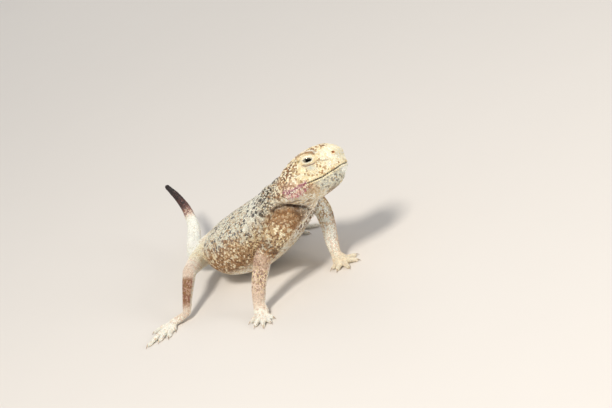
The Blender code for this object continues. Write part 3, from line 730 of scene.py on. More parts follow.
def banded(value, *stops):
    # Picks the colour of the first stop above each value.
    out = np.tile(tones[stops[-1][1]], (len(value), 1))
    for limit, name in reversed(stops[:-1]):
        out[value < limit] = tones[name]
    return out


def paintTrunk(p, run, angle, chance):
    high = np.sin(angle) + 0.22 * (softNoise(p, 3.0, 21) - 0.5)
    cluster = clumps(p, 1.1, 31)
    value = 0.85 * chance + 0.15 * cluster
    ragged = 0.16 * (chance - 0.5)
    # Back: chalky ground with small slate and soot specks, crowded towards the nape.
    back = banded(value, (0.12, "stone"), (0.28, "tan"), (0.40, "greyWhite"), (0.66, "bone"), (1, "chalk"))
    speck, mark = cellSpots(p * (1.0, 0.9, 1.0), 1.42, 33)
    forward = smooth(42, 12, run)
    blot = smooth(0.41, 0.35, speck + ragged) * (mark > 0.26 - 0.10 * forward)
    blotTone = mixed(mixed(tones["slate"], tones["coal"], smooth(0.3, 0.6, mark)), tones["soot"],
                     0.55 * forward)
    back = mixed(back, tones["snow"], 0.5 * bump(run, 19, 6))
    back = mixed(back, blotTone, 0.97 * blot)
    # Flank: golden-brown net with cream spots and a few white pearls.
    spot, tag = cellSpots(p, 1.04, 41)
    spotMask = smooth(0.47, 0.41, spot + ragged) * (tag > 0.15 + 0.3 * smooth(0.0, -0.4, high))
    flank = banded(value, (0.08, "umber"), (0.24, "brown"), (0.44, "bronze"), (0.74, "golden"), (1, "tan"))
    flank = mixed(flank, mixed(tones["cream"], tones["ivory"], smooth(0.3, 0.7, tag)), 0.95 * spotMask)
    flank = mixed(flank, tones["butter"], 0.6 * bump(run, 24, 5) * (chance > 0.5))
    pearl, pearlTag = cellSpots(p, 4.6, 45)
    pearls = smooth(0.17, 0.13, pearl) * (pearlTag > 0.5) * smooth(-0.5, -0.2, high) * smooth(0.7, 0.4, high)
    belly = banded(chance, (0.06, "tan"), (0.36, "cream"), (1, "white"))
    side = smooth(0.0, 0.42, high + 0.36 * (cluster - 0.5) - 0.24 * smooth(23, 34, run))
    colour = mixed(flank, back, side)
    colour = mixed(colour, tones["snow"], pearls)
    colour = mixed(colour, belly, smooth(-0.34, -0.66, high + 0.12 * (chance - 0.5)))
    nape = banded(value, (0.30, "umber"), (0.42, "slate"), (0.52, "tan"), (0.80, "bone"), (1, "chalk"))
    nape = mixed(nape, tones["soot"], 0.85 * smooth(0.44, 0.38, speck + ragged) * (mark > 0.3))
    neck = mixed(flank, nape, smooth(-0.15, 0.35, high))
    streak = smooth(0.50, 0.60, layeredNoise(p * (0.5, 1.2, 1.2), 1.6, 51))
    throat = mixed(mixed(tones["cream"], tones["snow"], smooth(0.2, 0.6, chance)), tones["redBrown"],
                   0.75 * streak)
    neck = mixed(neck, throat, smooth(-0.35, -0.65, high))
    colour = mixed(neck, colour, smooth(12.0, 19.0, run + 3 * (cluster - 0.5)))
    chest = mixed(mixed(flank, tones["white"], (chance > 0.35) * 0.95), tones["maroon"], 0.55 * streak)
    colour = mixed(colour, chest, smooth(-0.55, -0.8, high) * smooth(24, 17, run) * smooth(8, 12, run))
    rump = banded(value, (0.06, "brown"), (0.20, "tan"), (0.56, "cream"), (1, "white"))
    colour = mixed(colour, rump, smooth(50, 60, run + 3 * (cluster - 0.5)))
    tail = banded(chance, (0.06, "bone"), (0.30, "white"), (1, "snow"))
    colour = mixed(colour, tail, smooth(58, 65, run + 5 * (chance - 0.5)))
    dark = banded(0.6 * chance + 0.4 * cluster, (0.30, "ink"), (0.64, "plum"), (0.84, "maroon"),
                  (1, "violet"))
    dark = mixed(dark, tones["ink"], 0.85 * smooth(102, 112, run))
    middle = banded(chance, (0.35, "redBrown"), (0.65, "violet"), (1, "skinPink"))
    colour = mixed(colour, middle, smooth(92.6, 95.6, run + 3 * (chance - 0.5)))
    return mixed(colour, dark, smooth(96.4, 101.0, run + 4 * (chance - 0.5)))


flapDots = np.array([(-1.3, 8.0, -0.5), (-2.3, 9.0, -0.7), (-3.8, 9.9, -1.3), (-5.4, 10.5, -1.7),
                     (-7.4, 10.9, -1.1)])


def offPath(points, path):
    # Distance to a broken line.
    best = np.full(len(points), 1e9)
    for a, b in zip(path[:-1], path[1:]):
        t = np.clip((points - a) @ (b - a) / ((b - a) @ (b - a)), 0, 1)
        best = np.minimum(best, np.linalg.norm(points - a - t[:, None] * (b - a), axis=1))
    return best


def paintHead(p, chance):
    local = toHead(p)
    x, y, z = local.T
    cluster = clumps(p, 1.0, 61)
    value, fine = 0.7 * chance + 0.3 * cluster, 0.88 * chance + 0.12 * cluster
    crown = banded(value, (0.14, "brown"), (0.28, "bronze"), (0.40, "tan"), (0.66, "butter"), (1, "ivory"))
    muzzle = banded(chance, (0.14, "butter"), (0.80, "ivory"), (1, "white"))
    behind = banded(0.5 * value + 0.5 * chance, (0.12, "umber"), (0.30, "brown"), (0.46, "golden"),
                    (0.68, "cream"), (1, "ivory"))
    temple = banded(fine, (0.16, "brown"), (0.36, "golden"), (0.64, "butter"), (1, "ivory"))
    colour = mixed(crown, muzzle, smooth(2.8, 4.6, x + 1.2 * (cluster - 0.5) - 2.4 * smooth(6.6, 7.6, z)))
    colour = mixed(colour, temple, smooth(-1.8, -3.4, x) * smooth(7.4, 5.8, z))
    faceSide = banded(chance, (0.03, "golden"), (0.12, "tan"), (0.52, "butter"), (1, "ivory"))
    colour = mixed(colour, faceSide, 0.9 * smooth(6.6, 5.4, z) * smooth(-3.6, -1.6, x) * smooth(5.4, 3.6, x))
    colour = mixed(colour, behind, smooth(-3.4, -6.5, x))
    patch = bump(x, 3.2, 0.9) * bump(y, -0.4, 2.2) * smooth(6.6, 7.4, z)
    colour = mixed(colour, tones["rust"], 0.8 * patch * (chance < 0.7))
    level = mouthLevel(x)
    side = smooth(3.4, 2.0, z - level)
    cheek = banded(chance, (0.03, "golden"), (0.12, "tan"), (0.50, "butter"), (1, "ivory"))
    colour = mixed(colour, cheek, 0.9 * side * smooth(-7.0, -4.0, x) * smooth(6.5, 4.5, x))
    lipTone = banded(chance, (0.20, "golden"), (0.40, "butter"), (1, "ivory"))
    colour = mixed(colour, lipTone, smooth(1.4, 0.9, z - level) * smooth(-3.0, -1.4, x))
    # Thin brown line from the eye to the snout, brown bar behind the eye.
    line = bump(z - 4.4 + 0.22 * (x - 3.0), 0, 0.2) * smooth(2.6, 3.2, x) * smooth(7.6, 6.2, x)
    colour = mixed(colour, tones["brown"], 0.6 * line * (np.abs(y) > 2))
    bar = bump(z - 4.6 - 0.2 * x, 0, 0.8) * smooth(-2.0, -3.4, x) * (chance < 0.6)
    colour = mixed(colour, tones["brown"], 0.6 * bar)
    jaw = banded(value, (0.14, "tan"), (0.32, "stone"), (0.38, "bluish"), (0.66, "bone"), (1, "greyWhite"))
    jaw = mixed(jaw, mixed(tones["golden"], tones["cream"], 0.8 * chance), 0.9 * smooth(2.2, -0.8, x))
    colour = mixed(colour, jaw, smooth(0.15, -0.15, z - level) * smooth(-3.4, -1.2, x))
    streak = smooth(0.50, 0.60, layeredNoise(local * (0.35, 1.2, 0.8), 1.3, 71))
    throat = mixed(mixed(tones["cream"], tones["white"], smooth(0.2, 0.8, chance)), tones["brown"],
                   0.7 * streak)
    deep = smooth(-3.4, -5.2, z + 0.14 * np.minimum(x, 0))
    colour = mixed(colour, throat, deep * smooth(7.5, 4.0, x))
    lower = smooth(-1.8, -3.6, z) * smooth(-1.8, -3.6, x)
    colour = mixed(colour, throat, 0.8 * lower * (1 - deep))
    # A blush above the folded flap, and its first dots on the cheek.
    blush = smooth(-2.5, -5.0, x) * bump(z, 0.2, 1.4) * (np.abs(y) > 5)
    colour = mixed(colour, tones["greyPink"], 0.45 * blush * (chance < 0.6))
    reach = offPath(local * (1, 0, 1) + np.abs(local) * (0, 1, 0), flapDots)
    colour = mixed(colour, tones["magenta"], 0.75 * smooth(0.6, 0.35, reach) * (chance < 0.5))
    # Painted shade: a thin dark umber line along the mouth slit, where the lips meet.
    slit = bump(z - level, 0.0, 0.13) * smooth(-1.8, -1.0, x)
    colour = mixed(colour, tones["umber"], 0.9 * slit)
    chin = smooth(7.0, 7.9, x) * smooth(2.3, 1.5, np.abs(y)) * smooth(0.1, -0.2, z - level) * smooth(-2.2,
                                                                                                     -1.4, z)
    colour = mixed(colour, tones["snow"], 0.9 * chin)
    for hand in (1, -1):
        inside, a, b, reach, _, facing = lidEdge(local, hand)
        groove, ridge, crease, patch = lidArcs(a, b, reach, facing)
        onLid = smooth(-1.9, -1.2, inside) * (reach < 5.6) * (facing > -0.4)
        lid = banded(chance, (0.20, "cream"), (0.6, "butter"), (1, "ivory"))
        lid = mixed(lid, tones["snow"], smooth(-0.62, -0.45, inside) * smooth(-0.3, 0.3, b))
        colour = mixed(colour, lid, onLid)
        colour = mixed(colour, tones["white"], 0.9 * ridge)
        colour = mixed(colour, mixed(tones["golden"], tones["bronze"], chance), 0.95 * groove)
        colour = mixed(colour, tones["violet"], 0.95 * crease)
        colour = mixed(colour, tones["bluish"], 0.9 * patch)
        # Painted shade: the skin that turns in inside the lids' opening is near black.
        colour = mixed(colour, tones["ink"], smooth(0.02, 0.12, inside) * (reach < 3.5) * (facing > 0.5))
    return colour


def paintFlap(p, chance):
    local = toHead(p)
    reach = offPath(local * (1, 0, 1) + np.abs(local) * (0, 1, 0), flapDots)
    low = smooth(-1.6, -3.0, local[:, 2])
    ground = banded(chance, (0.22, "bronze"), (0.52, "greyPink"), (0.80, "pink"), (0.92, "skinPink"),
                    (1, "white"))
    ground = mixed(ground, tones["magenta"], 0.9 * smooth(0.90, 0.55, reach) * (chance < 0.72))
    return mixed(ground, tones["rose"], 0.8 * low * (chance < 0.50))


def paintLimb(kind, p, normal, share, tag, chance):
    hand = 1 if tag == "left" else -1
    # Painted light: the left arm, the far one, has its outer side turned further back than the right arm's,
    # so more of the front of its upper arm and forearm takes the pale inner colour.
    facing = (0.45 if tag == "right" else -0.3, hand * 1.0,
              0.3) if kind.startswith("arm") else (-0.3, hand * 1.0, 0.4)
    outer = smooth(-0.25, 0.35, normal @ unit(np.array(facing)))
    spot, mark = cellSpots(p, 1.02, 81)
    spotMask = smooth(0.44, 0.38, spot + 0.16 * (chance - 0.5)) * (mark > 0.12)
    cluster = layeredNoise(p, 1.0, 91)
    fine = 0.8 * chance + 0.2 * cluster
    if kind == "armUpper":
        shell = banded(0.6 * chance + 0.4 * cluster, (0.30, "brown"), (0.48, "bronze"), (0.74, "golden"),
                       (1, "tan"))
        shell = mixed(shell, mixed(tones["cream"], tones["ivory"], smooth(0.2, 0.5, share)), 0.95 * spotMask)
        shell = mixed(shell, tones["butter"], 0.45 * bump(share, 0.56, 0.16) * (chance > 0.4))
        shell = mixed(shell, tones["bronze"], 0.65 * smooth(0.46, 0.2, share) * (chance < 0.8))
        shell = mixed(shell, tones["umber"], 0.55 * bump(share, 0.74, 0.13) * (chance < 0.7))
        shell = mixed(shell, tones["umber"], 0.5 * smooth(0.20, 0.04, share) * (chance < 0.7))
        shell = mixed(shell, tones["greyPink"], 0.6 * smooth(0.84, 0.98, share))
        inner = banded(chance, (0.12, "tan"), (0.4, "cream"), (1, "snow"))
        return mixed(inner, shell, outer)
    if kind == "armLower":
        shell = banded(fine, (0.14, "violet"), (0.34, "greyPink"), (0.56, "cream"), (1, "skinPink"))
        shell = mixed(shell, tones["violet"], 0.45 * smooth(0.3, 0.1, share) * (chance < 0.5))
        shell = mixed(shell, tones["skinPink"], 0.8 * smooth(0.5, 0.95, share))
        inner = banded(chance, (0.1, "greyWhite"), (0.4, "skinPink"), (1, "white"))
        return mixed(inner, shell, outer)
    if kind == "legUpper":
        shell = banded(fine, (0.06, "tan"), (0.34, "cream"), (1, "ivory"))
        shell = mixed(shell, tones["white"], 0.7 * spotMask)
        shell = mixed(shell, mixed(tones["skinPink"], tones["white"], chance), smooth(0.6, 0.9, share))
        return mixed(banded(chance, (0.2, "cream"), (1, "white")), shell, smooth(-0.7, 0.0, normal[:, 2]))
    if kind == "legLower":
        shell = banded(fine, (0.34, "redBrown"), (0.60, "bronze"), (0.92, "greyPink"), (1, "skinPink"))
        shell = mixed(shell, tones["skinPink"],
                      0.75 * np.maximum(smooth(0.75, 1.0, share), smooth(0.25, 0.08, share)))
        return mixed(banded(chance, (0.2, "cream"), (1, "white")), shell,
                     smooth(-0.85, -0.2, normal @ unit(np.array(facing))))
    if kind.endswith("Palm"):
        palm = banded(chance, (0.04, "greyPink"), (0.42, "skinPink"), (1, "white"))
    else:
        palm = banded(chance, (0.12, "skinPink"), (0.5, "white"), (1, "snow"))
    # Painted shade: the left hand, the far one, is mixed more towards cream, warmer and darker than the
    # right.
    return mixed(palm, tones["cream"], np.full(len(p),
                                               0.6 if tag == "left" and kind.startswith("arm") else 0.1))


def paint(p, normal, place, chance):
    # One colour a point: the owner's own marking, softened where parts meet.
    colour = np.zeros((len(p), 3))
    total = np.zeros(len(p))
    ranked = np.argsort(place["gaps"], axis=0)[:2]
    nearest = np.take_along_axis(place["gaps"], ranked[:1], 0)[0]
    for rank in range(2):
        which = ranked[rank]
        gap = place["gaps"][which, np.arange(len(p))] - nearest
        share = np.exp(-(gap / 0.9) ** 2) if rank else np.ones(len(p))
        for i, axis in enumerate(axes):
            mine = np.nonzero((which == i) & (share > 0.02))[0]
            if not len(mine):
                continue
            kind, q, c = axis["kind"], p[mine], chance[mine]
            if kind == "trunk":
                part = paintTrunk(q, place["runs"][i, mine], place["angles"][i, mine], c)
            elif kind == "head":
                part = paintHead(q, c)
            elif kind == "flap":
                part = paintFlap(q, c)
            else:
                run = place["runs"][i, mine] / axis["run"][-1]
                part = paintLimb(kind, q, normal[mine], run, axis["name"].split("_")[1], c)
            colour[mine] += part * share[mine, None]
            total[mine] += share[mine]
    colour = colour / np.maximum(total, 1e-6)[:, None]
    # Shade lies in the folds beside the arms and behind the jowl.
    arm = np.minimum(place["gaps"][axisIndex["arm_left_upper"]], place["gaps"][axisIndex["arm_right_upper"]])
    body = np.minimum(place["gaps"][axisIndex["trunk"]], place["gaps"][axisIndex["head"]])
    crease = bump(arm - body, 0.0, 0.5) * smooth(2.2, 1.2, np.abs(body))
    return mixed(colour, tones["umber"], 0.72 * crease * (chance < 0.85))


# Scales, set on the skin by even scattering and shaped to fit their neighbours.

scaleSizes = dict(
    head=0.48, snout=0.43, lid=0.30, jaw=0.46, throat=0.46, flap=0.38, neck=0.43, back=0.41, flank=0.41,
    belly=0.54, tail=0.50, tailTip=0.41, armUpper=0.44, armLower=0.41, armPalm=0.36, armDigit=0.31,
    legUpper=0.44, legLower=0.40, legPalm=0.36, legDigit=0.31, seed=7, relaxing=5, sides=8, uneven=0.3,
    sheet=165.0,
)


def triangleArrays(mesh):
    mesh.calc_loop_triangles()
    co, _ = arraysOf(mesh)
    tri = np.zeros(len(mesh.loop_triangles) * 3, int)
    mesh.loop_triangles.foreach_get("vertices", tri)
    return co, tri.reshape(-1, 3)


def spacingAt(p, place):
    size = np.zeros(len(p))
    for i, axis in enumerate(axes):
        mine = place["owner"] == i
        if not mine.any():
            continue
        kind = axis["kind"]
        if kind == "trunk":
            run, high = place["runs"][i, mine], np.sin(place["angles"][i, mine])
            value = scaleSizes["flank"] + (scaleSizes["belly"] - scaleSizes["flank"]) * smooth(-0.3, -0.8,
                                                                                               high)
            value = np.where(high > 0.4, scaleSizes["back"], value)
            value = np.where(run < 13, scaleSizes["neck"], value)
            value = np.where(run > 60, scaleSizes["tail"], value)
            tip = np.interp(run, (84, 115), (scaleSizes["tail"] * 0.92, scaleSizes["tailTip"]))
            size[mine] = np.where(run > 84, tip, value)
        elif kind == "head":
            local = toHead(p[mine])
            value = np.where(local[:, 0] > 4.5, scaleSizes["snout"], scaleSizes["head"])
            value = np.where(local[:, 2] < mouthLevel(local[:, 0]), scaleSizes["jaw"], value)
            for hand in (1, -1):
                inside, _, _, reach, _, facing = lidEdge(local, hand)
                near = (reach < eyeSizes["lidRadius"] + 0.5) & (inside > -2.6) & (facing > 0.1)
                value = np.where(near, scaleSizes["lid"] + 0.05 * np.clip(-inside, 0, 3), value)
            size[mine] = value
        else:
            size[mine] = scaleSizes.get(kind, 0.5)
    return size


def skinTree(mesh):
    co, tri = triangleArrays(mesh)
    return BVHTree.FromPolygons(co.tolist(), tri.tolist()), co, tri


def landOn(tree, points):
    spots, normals = np.zeros((len(points), 3)), np.zeros((len(points), 3))
    for i, q in enumerate(points):
        hit = tree.find_nearest(q)
        spots[i], normals[i] = hit[0], hit[1]
    return spots, normals


def evenly(path, pitch):
    path = np.array(path)
    run = np.r_[0, np.cumsum(np.linalg.norm(np.diff(path, axis=0), axis=1))]
    count = max(2, int(round(run[-1] / pitch)) + 1)
    return np.stack([np.interp(np.linspace(0, run[-1], count), run, path[:, k]) for k in range(3)], 1)


rowSizes = dict(lipPitch=0.66, lipLevels=(0.44, -0.46), rimPitch=0.30, rimInset=-0.16, browPitch=0.50,
                digitPitch=0.46, nostrilCount=9)


def lipPath(tree, offset):
    path = []
    for angle in np.radians(np.linspace(-126, 126, 90)):
        heading = np.array((math.cos(angle), math.sin(angle), 0.0))
        level = 0.0
        for _ in range(3):
            start = fromHead(np.array((1.5, 0.0, level + offset)) + heading * 16)
            hit = tree.ray_cast(Vector(start), Vector(-heading @ headMatrix.T))[0]
            spot = toHead(np.array(hit))
            level = float(mouthLevel(spot[0]))
        if spot[0] > mouthLine[-1][0] + 0.2:
            path.append(fromHead(spot))
    return path


def lidPath(hand, upper, inset):
    out, forward, upward = eyeAxes(hand)
    path = []
    for turn in np.linspace(0.04, math.pi - 0.04, 40):
        ca, cb = math.cos(turn), math.sin(turn) * (1 if upper else -1)
        arc = (float(lidReach(ca, cb)) - inset) / eyeSizes["lidRadius"]
        heading = out * math.cos(arc) + (forward * ca + upward * cb) * math.sin(arc)
        path.append(fromHead(mirrored(eyeSizes["centre"], hand) + heading * eyeSizes["lidRadius"]))
    return path


def rowPoints(tree):
    # Scales that stand in rows: lips, lid rims, brows, nostrils and the tops of the digits.
    rows = []
    for level in rowSizes["lipLevels"]:
        rows += [(q, rowSizes["lipPitch"], 1) for q in evenly(lipPath(tree, level), rowSizes["lipPitch"])]
    for hand in (1, -1):
        for upper in (True, False):
            path = lidPath(hand, upper, rowSizes["rimInset"])
            rows += [(q, rowSizes["rimPitch"], 2) for q in evenly(path, rowSizes["rimPitch"])]
        brow = [(4.5, 4.8, 7.5), (2.8, 6.4, 8.0), (0.5, 7.4, 8.1), (-1.9, 7.6, 7.3)]
        path = [fromHead(mirrored(q, hand)) for q in brow]
        rows += [(q, rowSizes["browPitch"], 3) for q in evenly(path, rowSizes["browPitch"])]
    for spot, out in nostrils:
        a = unit(np.cross(out, (0.1, 0.2, 1.0)))
        b = np.cross(out, a)
        for turn in np.linspace(0, 2 * math.pi, rowSizes["nostrilCount"], endpoint=False):
            rows.append((spot + 0.66 * (a * math.cos(turn) + b * math.sin(turn)), 0.42, 4))
    for axis in axes:
        if axis["kind"].endswith("Digit"):
            path = axis["centre"] + axis["top"] * axis["above"][:, None]
            rows += [(q, rowSizes["digitPitch"], 5) for q in evenly(path, rowSizes["digitPitch"])[1:-1]]
    points = np.array([r[0] for r in rows])
    return landOn(tree, points)[0], np.array([r[1] for r in rows]), np.array([r[2] for r in rows])


def bareSpots(p):
    # Inside the lids' opening and the nostrils there are no scales.
    local = toHead(p)
    bare = np.zeros(len(p), bool)
    for hand in (1, -1):
        inside, _, _, reach, _, facing = lidEdge(local, hand)
        bare |= (inside > -0.03) & (reach < 3.4) & (facing > 0.5)
    for spot, out in nostrils:
        bare |= np.linalg.norm(p - spot - out * (((p - spot) @ out)[:, None] * 0.8),
                               axis=1) < nostrilSizes["radius"] + 0.05
    return bare


def scatterScales(mesh):
    rng = np.random.default_rng(scaleSizes["seed"])
    tree, co, tri = skinTree(mesh)
    a, b, c = co[tri[:, 0]], co[tri[:, 1]], co[tri[:, 2]]
    area = 0.5 * np.linalg.norm(np.cross(b - a, c - a), axis=1)
    middle = (a + b + c) / 3
    place = locate(middle)
    size = spacingAt(middle, place)
    weight = area / size**2
    expected = weight.sum() * 1.15
    count = int(expected * 5)
    chosen = rng.choice(len(tri), count, p=weight / weight.sum())
    r1, r2 = np.sqrt(rng.random(count))[:, None], rng.random(count)[:, None]
    points = a[chosen] * (1 - r1) + b[chosen] * (r1 * (1 - r2)) + c[chosen] * (r1 * r2)
    sizes = size[chosen] * (1 - 0.1 * scaleSizes["uneven"] + scaleSizes["uneven"] * (rng.random(count) ** 4))
    rowSpots, rowPitch, rowTags = rowPoints(tree)
    keep = ~bareSpots(points)
    points, sizes = points[keep], sizes[keep]
    points = np.vstack([rowSpots, points])
    sizes = np.r_[rowPitch * 0.92, sizes]
    fixed = len(rowSpots)
    kd = KDTree(len(points))
    for i, q in enumerate(points):
        kd.insert(q, i)
    kd.balance()
    alive = np.ones(len(points), bool)
    taken = []
    for i in range(len(points)):
        if not alive[i]:
            continue
        taken.append(i)
        reach = sizes[i] * (0.80 if i >= fixed else 0.86)
        for _, j, _ in kd.find_range(points[i], reach):
            if j >= fixed or j > i:
                alive[j] = False
    points, sizes = points[taken], sizes[taken]
    held = np.array(taken) < fixed
    tags = np.zeros(len(points), int)
    tags[held] = rowTags[np.array(taken)[held]]
    for _ in range(scaleSizes["relaxing"]):
        near, gap = neighboursOf(points, 7)
        away = points[:, None, :] - points[near]
        push = np.maximum(0, 1.12 * (sizes[:, None] + sizes[near]) / 2 - gap)
        move = (away / np.maximum(gap, 1e-6)[..., None] * push[..., None]).sum(1) * 0.28
        move[held] = 0
        points, normals = landOn(tree, points + move)
    good = ~bareSpots(points) | held
    points, sizes, tags = points[good], sizes[good], tags[good]
    points, normals = landOn(tree, points)
    return points, smoothNormals(tree, points, normals, sizes), sizes, tags


def neighboursOf(points, count):
    kd = KDTree(len(points))
    for i, q in enumerate(points):
        kd.insert(q, i)
    kd.balance()
    near = np.zeros((len(points), count), int)
    gap = np.zeros((len(points), count))
    for i, q in enumerate(points):
        found = kd.find_n(q, count + 1)
        near[i] = [f[1] for f in found[1:]]
        gap[i] = [f[2] for f in found[1:]]
    return near, gap


def smoothNormals(tree, points, normals, sizes):
    # Mean of the face normals a little way round each root.
    total = normals * 1.0
    a = unit(np.cross(normals, (0.31, 0.53, 0.79)))
    b = np.cross(normals, a)
    for turn in (0, 2.1, 4.2):
        reach = 0.3 * sizes[:, None]
        total += landOn(tree, points + reach * (a * math.cos(turn) + b * math.sin(turn)))[1]
    return unit(total)


# Per kind: height, tailward overlap, keel, share of the cell filled.
scaleForms = dict(
    head=(0.11, 0.04, 0.00, 0.96), flap=(0.22, 0.05, 0.2, 0.90), trunk=(0.11, 0.14, 0.25, 0.96),
    belly=(0.06, 0.18, 0.0, 0.98), tail=(0.11, 0.26, 0.5, 0.98), armUpper=(0.11, 0.24, 0.4, 0.97),
    armLower=(0.10, 0.24, 0.4, 0.97), legUpper=(0.10, 0.2, 0.3, 0.97), legLower=(0.10, 0.24, 0.4, 0.97),
    armPalm=(0.08, 0.14, 0.1, 0.97), legPalm=(0.08, 0.14, 0.1, 0.97), armDigit=(0.07, 0.16, 0.1, 0.98),
    legDigit=(0.07, 0.16, 0.1, 0.98), lid=(0.07, 0.02, 0.0, 0.94),
)


def scaleFormAt(p, place, tags):
    form = np.zeros((len(p), 4))
    for i, axis in enumerate(axes):
        mine = np.nonzero(place["owner"] == i)[0]
        if not len(mine):
            continue
        kind = axis["kind"]
        form[mine] = scaleForms.get(kind, scaleForms["trunk"])
        if kind == "trunk":
            high, run = np.sin(place["angles"][i, mine]), place["runs"][i, mine]
            form[mine[high < -0.55]] = scaleForms["belly"]
            form[mine[run > 60]] = scaleForms["tail"]
        if kind == "head":
            local = toHead(p[mine])
            for hand in (1, -1):
                inside, _, _, reach, _, facing = lidEdge(local, hand)
                form[mine[(reach < 3.4) & (inside > -1.9) & (facing > 0.2)]] = scaleForms["lid"]
    form[tags == 1] = (0.16, 0.0, 0.0, 0.93)
    form[tags == 2] = (0.10, 0.0, 0.0, 0.96)
    form[tags == 3] = (0.16, 0.06, 0.1, 0.96)
    form[tags == 5] = (0.08, 0.2, 0.1, 0.97)
    return form


def chartOf(p, place):
    # A roll-out of every part on one sheet: run along it, angle times mean radius across it.
    u, v = np.zeros(len(p)), np.zeros(len(p))
    for i, axis in enumerate(axes):
        mine = place["owner"] == i
        if not mine.any():
            continue
        run = place["runs"][i, mine]
        radius = np.interp(run, axis["run"], (axis["width"] + (axis["above"] + axis["below"]) / 2) / 2)
        across = place["angles"][i, mine] * radius
        kind, name = axis["kind"], axis["name"]
        if kind == "trunk":
            tail = run > 60
            ou = np.where(tail, run - 60 + 3, run + 1.5)
            ov = np.where(tail, 104, 45) + across
        elif kind == "head":
            ou, ov = run + 68, 32 + across
        elif kind == "flap":
            ou, ov = run + 70, (68 if name.endswith("left") else 78) + across
        else:
            limb = list(limbRows).index(name.rsplit("_", 1)[0])
            part = name.rsplit("_", 1)[1]
            if part == "upper":
                ou, ov = run + 100 + 31 * (limb % 2), 17 + 34 * (limb // 2) + across
            elif part == "lower":
                ou, ov = run + 66 + 22 * limb, 98 + across
            elif part == "palm":
                ou, ov = run + 6 + 14 * limb, 126 + across
            else:
                finger = int(part[-1])
                ou, ov = run + 62 + 18 * finger, 118 + 9 * limb + across
        u[mine], v[mine] = ou, ov
    return np.stack([u, v], 1) / scaleSizes["sheet"]


def buildScales(name, roots, normals, lie, radii, form, colour, chart, material, sides, rings, gapShade):
    # One mesh for a region: every scale is a low domed plate on its own cell.
    n, k = len(roots), sides
    e1 = unit(lie - normals * (lie * normals).sum(1, keepdims=True))
    e2 = np.cross(normals, e1)
    theta = 2 * np.pi * (np.arange(k) + 0.5) / k
    c, s = np.cos(theta), np.sin(theta)
    height, overlap, keel, fill = form.T
    tailward = np.maximum(0, c)[None, :]
    reach = radii * fill[:, None] * (1 + overlap[:, None] * tailward)
    flat = e1[:, None, :] * c[None, :, None] + e2[:, None, :] * s[None, :, None]
    lift = overlap[:, None] * 0.45 * tailward
    ringPlan = [(1.0, -0.07, gapShade), (0.96, 0.30, 0.92), (0.66, 0.86, 1.0)]
    if rings == 2:
        ringPlan = [(1.0, -0.07, gapShade), (0.74, 0.80, 1.0)]
    blocks, shades = [], []
    for share, rise, shade in ringPlan:
        base = np.where(rise < 0, rise + 0.0 * height[:, None], rise * height[:, None])
        ridge = keel[:, None] * height[:, None] * (np.abs(s)[None, :] < 0.5) * (rise > 0) * 0.5
        high = base + lift * (0.25 if rise < 0 else 0.30) + ridge
        blocks.append(roots[:, None, :] + flat * (reach * share)[..., None] + normals[:, None, :]
                      * high[..., None])
        shades.append(np.full((n, k), shade))
    apex = roots + e1 * (reach.mean(1) * 0.10)[:, None] + normals * (height * (1 + 0.35 * keel))[:, None]
    verts = np.concatenate(blocks + [apex[:, None, :]], axis=1)
    shade = np.concatenate(shades + [np.ones((n, 1))], axis=1)
    per = verts.shape[1]
    verts = verts.reshape(-1, 3)
    verts[:, 2] = np.maximum(verts[:, 2], 0.01)
    loops, totals = [], []
    for r in range(len(ringPlan) - 1):
        for j in range(k):
            m = (j + 1) % k
            loops += [r * k + j, r * k + m, (r + 1) * k + m, (r + 1) * k + j]
            totals.append(4)
    last = (len(ringPlan) - 1) * k
    for j in range(k):
        loops += [last + j, last + (j + 1) % k, per - 1]
        totals.append(3)
    loops += list(range(k - 1, -1, -1))
    totals.append(k)
    loops, totals = np.array(loops), np.array(totals)
    starts = np.r_[0, np.cumsum(totals)[:-1]]
    allLoops = (loops[None, :] + (np.arange(n) * per)[:, None]).ravel()
    allStarts = (starts[None, :] + (np.arange(n) * len(loops))[:, None]).ravel()
    mesh = bpy.data.meshes.new(name)
    mesh.vertices.add(len(verts))
    mesh.vertices.foreach_set("co", (verts * millimetre).ravel())
    mesh.loops.add(len(allLoops))
    mesh.loops.foreach_set("vertex_index", allLoops)
    mesh.polygons.add(len(allStarts))
    mesh.polygons.foreach_set("loop_start", allStarts)
    mesh.update(calc_edges=True)
    mesh.validate()
    tintMesh(mesh, (colour[:, None, :] * shade[..., None]).reshape(-1, 3))
    offset = np.zeros((n, per, 2))
    for r in range(len(ringPlan)):
        offset[:, r * k:(r + 1) * k, 0] = c * 0.0015 * ringPlan[r][0]
        offset[:, r * k:(r + 1) * k, 1] = s * 0.0015 * ringPlan[r][0]
    uv = (chart[:, None, :] + offset).reshape(-1, 2)[allLoops]
    bake = mesh.uv_layers.new(name="OFBake")
    bake.data.foreach_set("uv", uv.ravel())
    mesh.materials.append(material)
    return linked(name, mesh)


def cellRadii(points, normals, lie, sizes, sides):
    # How far each scale may reach in every direction before it meets the half-way line to a neighbour.
    near, _ = neighboursOf(points, 10)
    e1 = unit(lie - normals * (lie * normals).sum(1, keepdims=True))
    e2 = np.cross(normals, e1)
    rel = points[near] - points[:, None, :]
    x = (rel * e1[:, None, :]).sum(2)
    y = (rel * e2[:, None, :]).sum(2)
    length = (rel**2).sum(2)
    theta = 2 * np.pi * (np.arange(sides) + 0.5) / sides
    radii = np.full((len(points), sides), 9.0)
    for k, t in enumerate(theta):
        dot = x * math.cos(t) + y * math.sin(t)
        bound = np.where(dot > 1e-4, length / (2 * np.maximum(dot, 1e-4)), 9.0)
        radii[:, k] = bound.min(1)
    return np.minimum(radii, 0.72 * sizes[:, None])


# Finishes.

def newMaterial(name):
    material = bpy.data.materials.new(name)
    material.use_nodes = True
    tree = material.node_tree
    tree.nodes.clear()
    output = tree.nodes.new("ShaderNodeOutputMaterial")
    shader = tree.nodes.new("ShaderNodeBsdfPrincipled")
    tree.links.new(shader.outputs["BSDF"], output.inputs["Surface"])
    return material, tree, shader


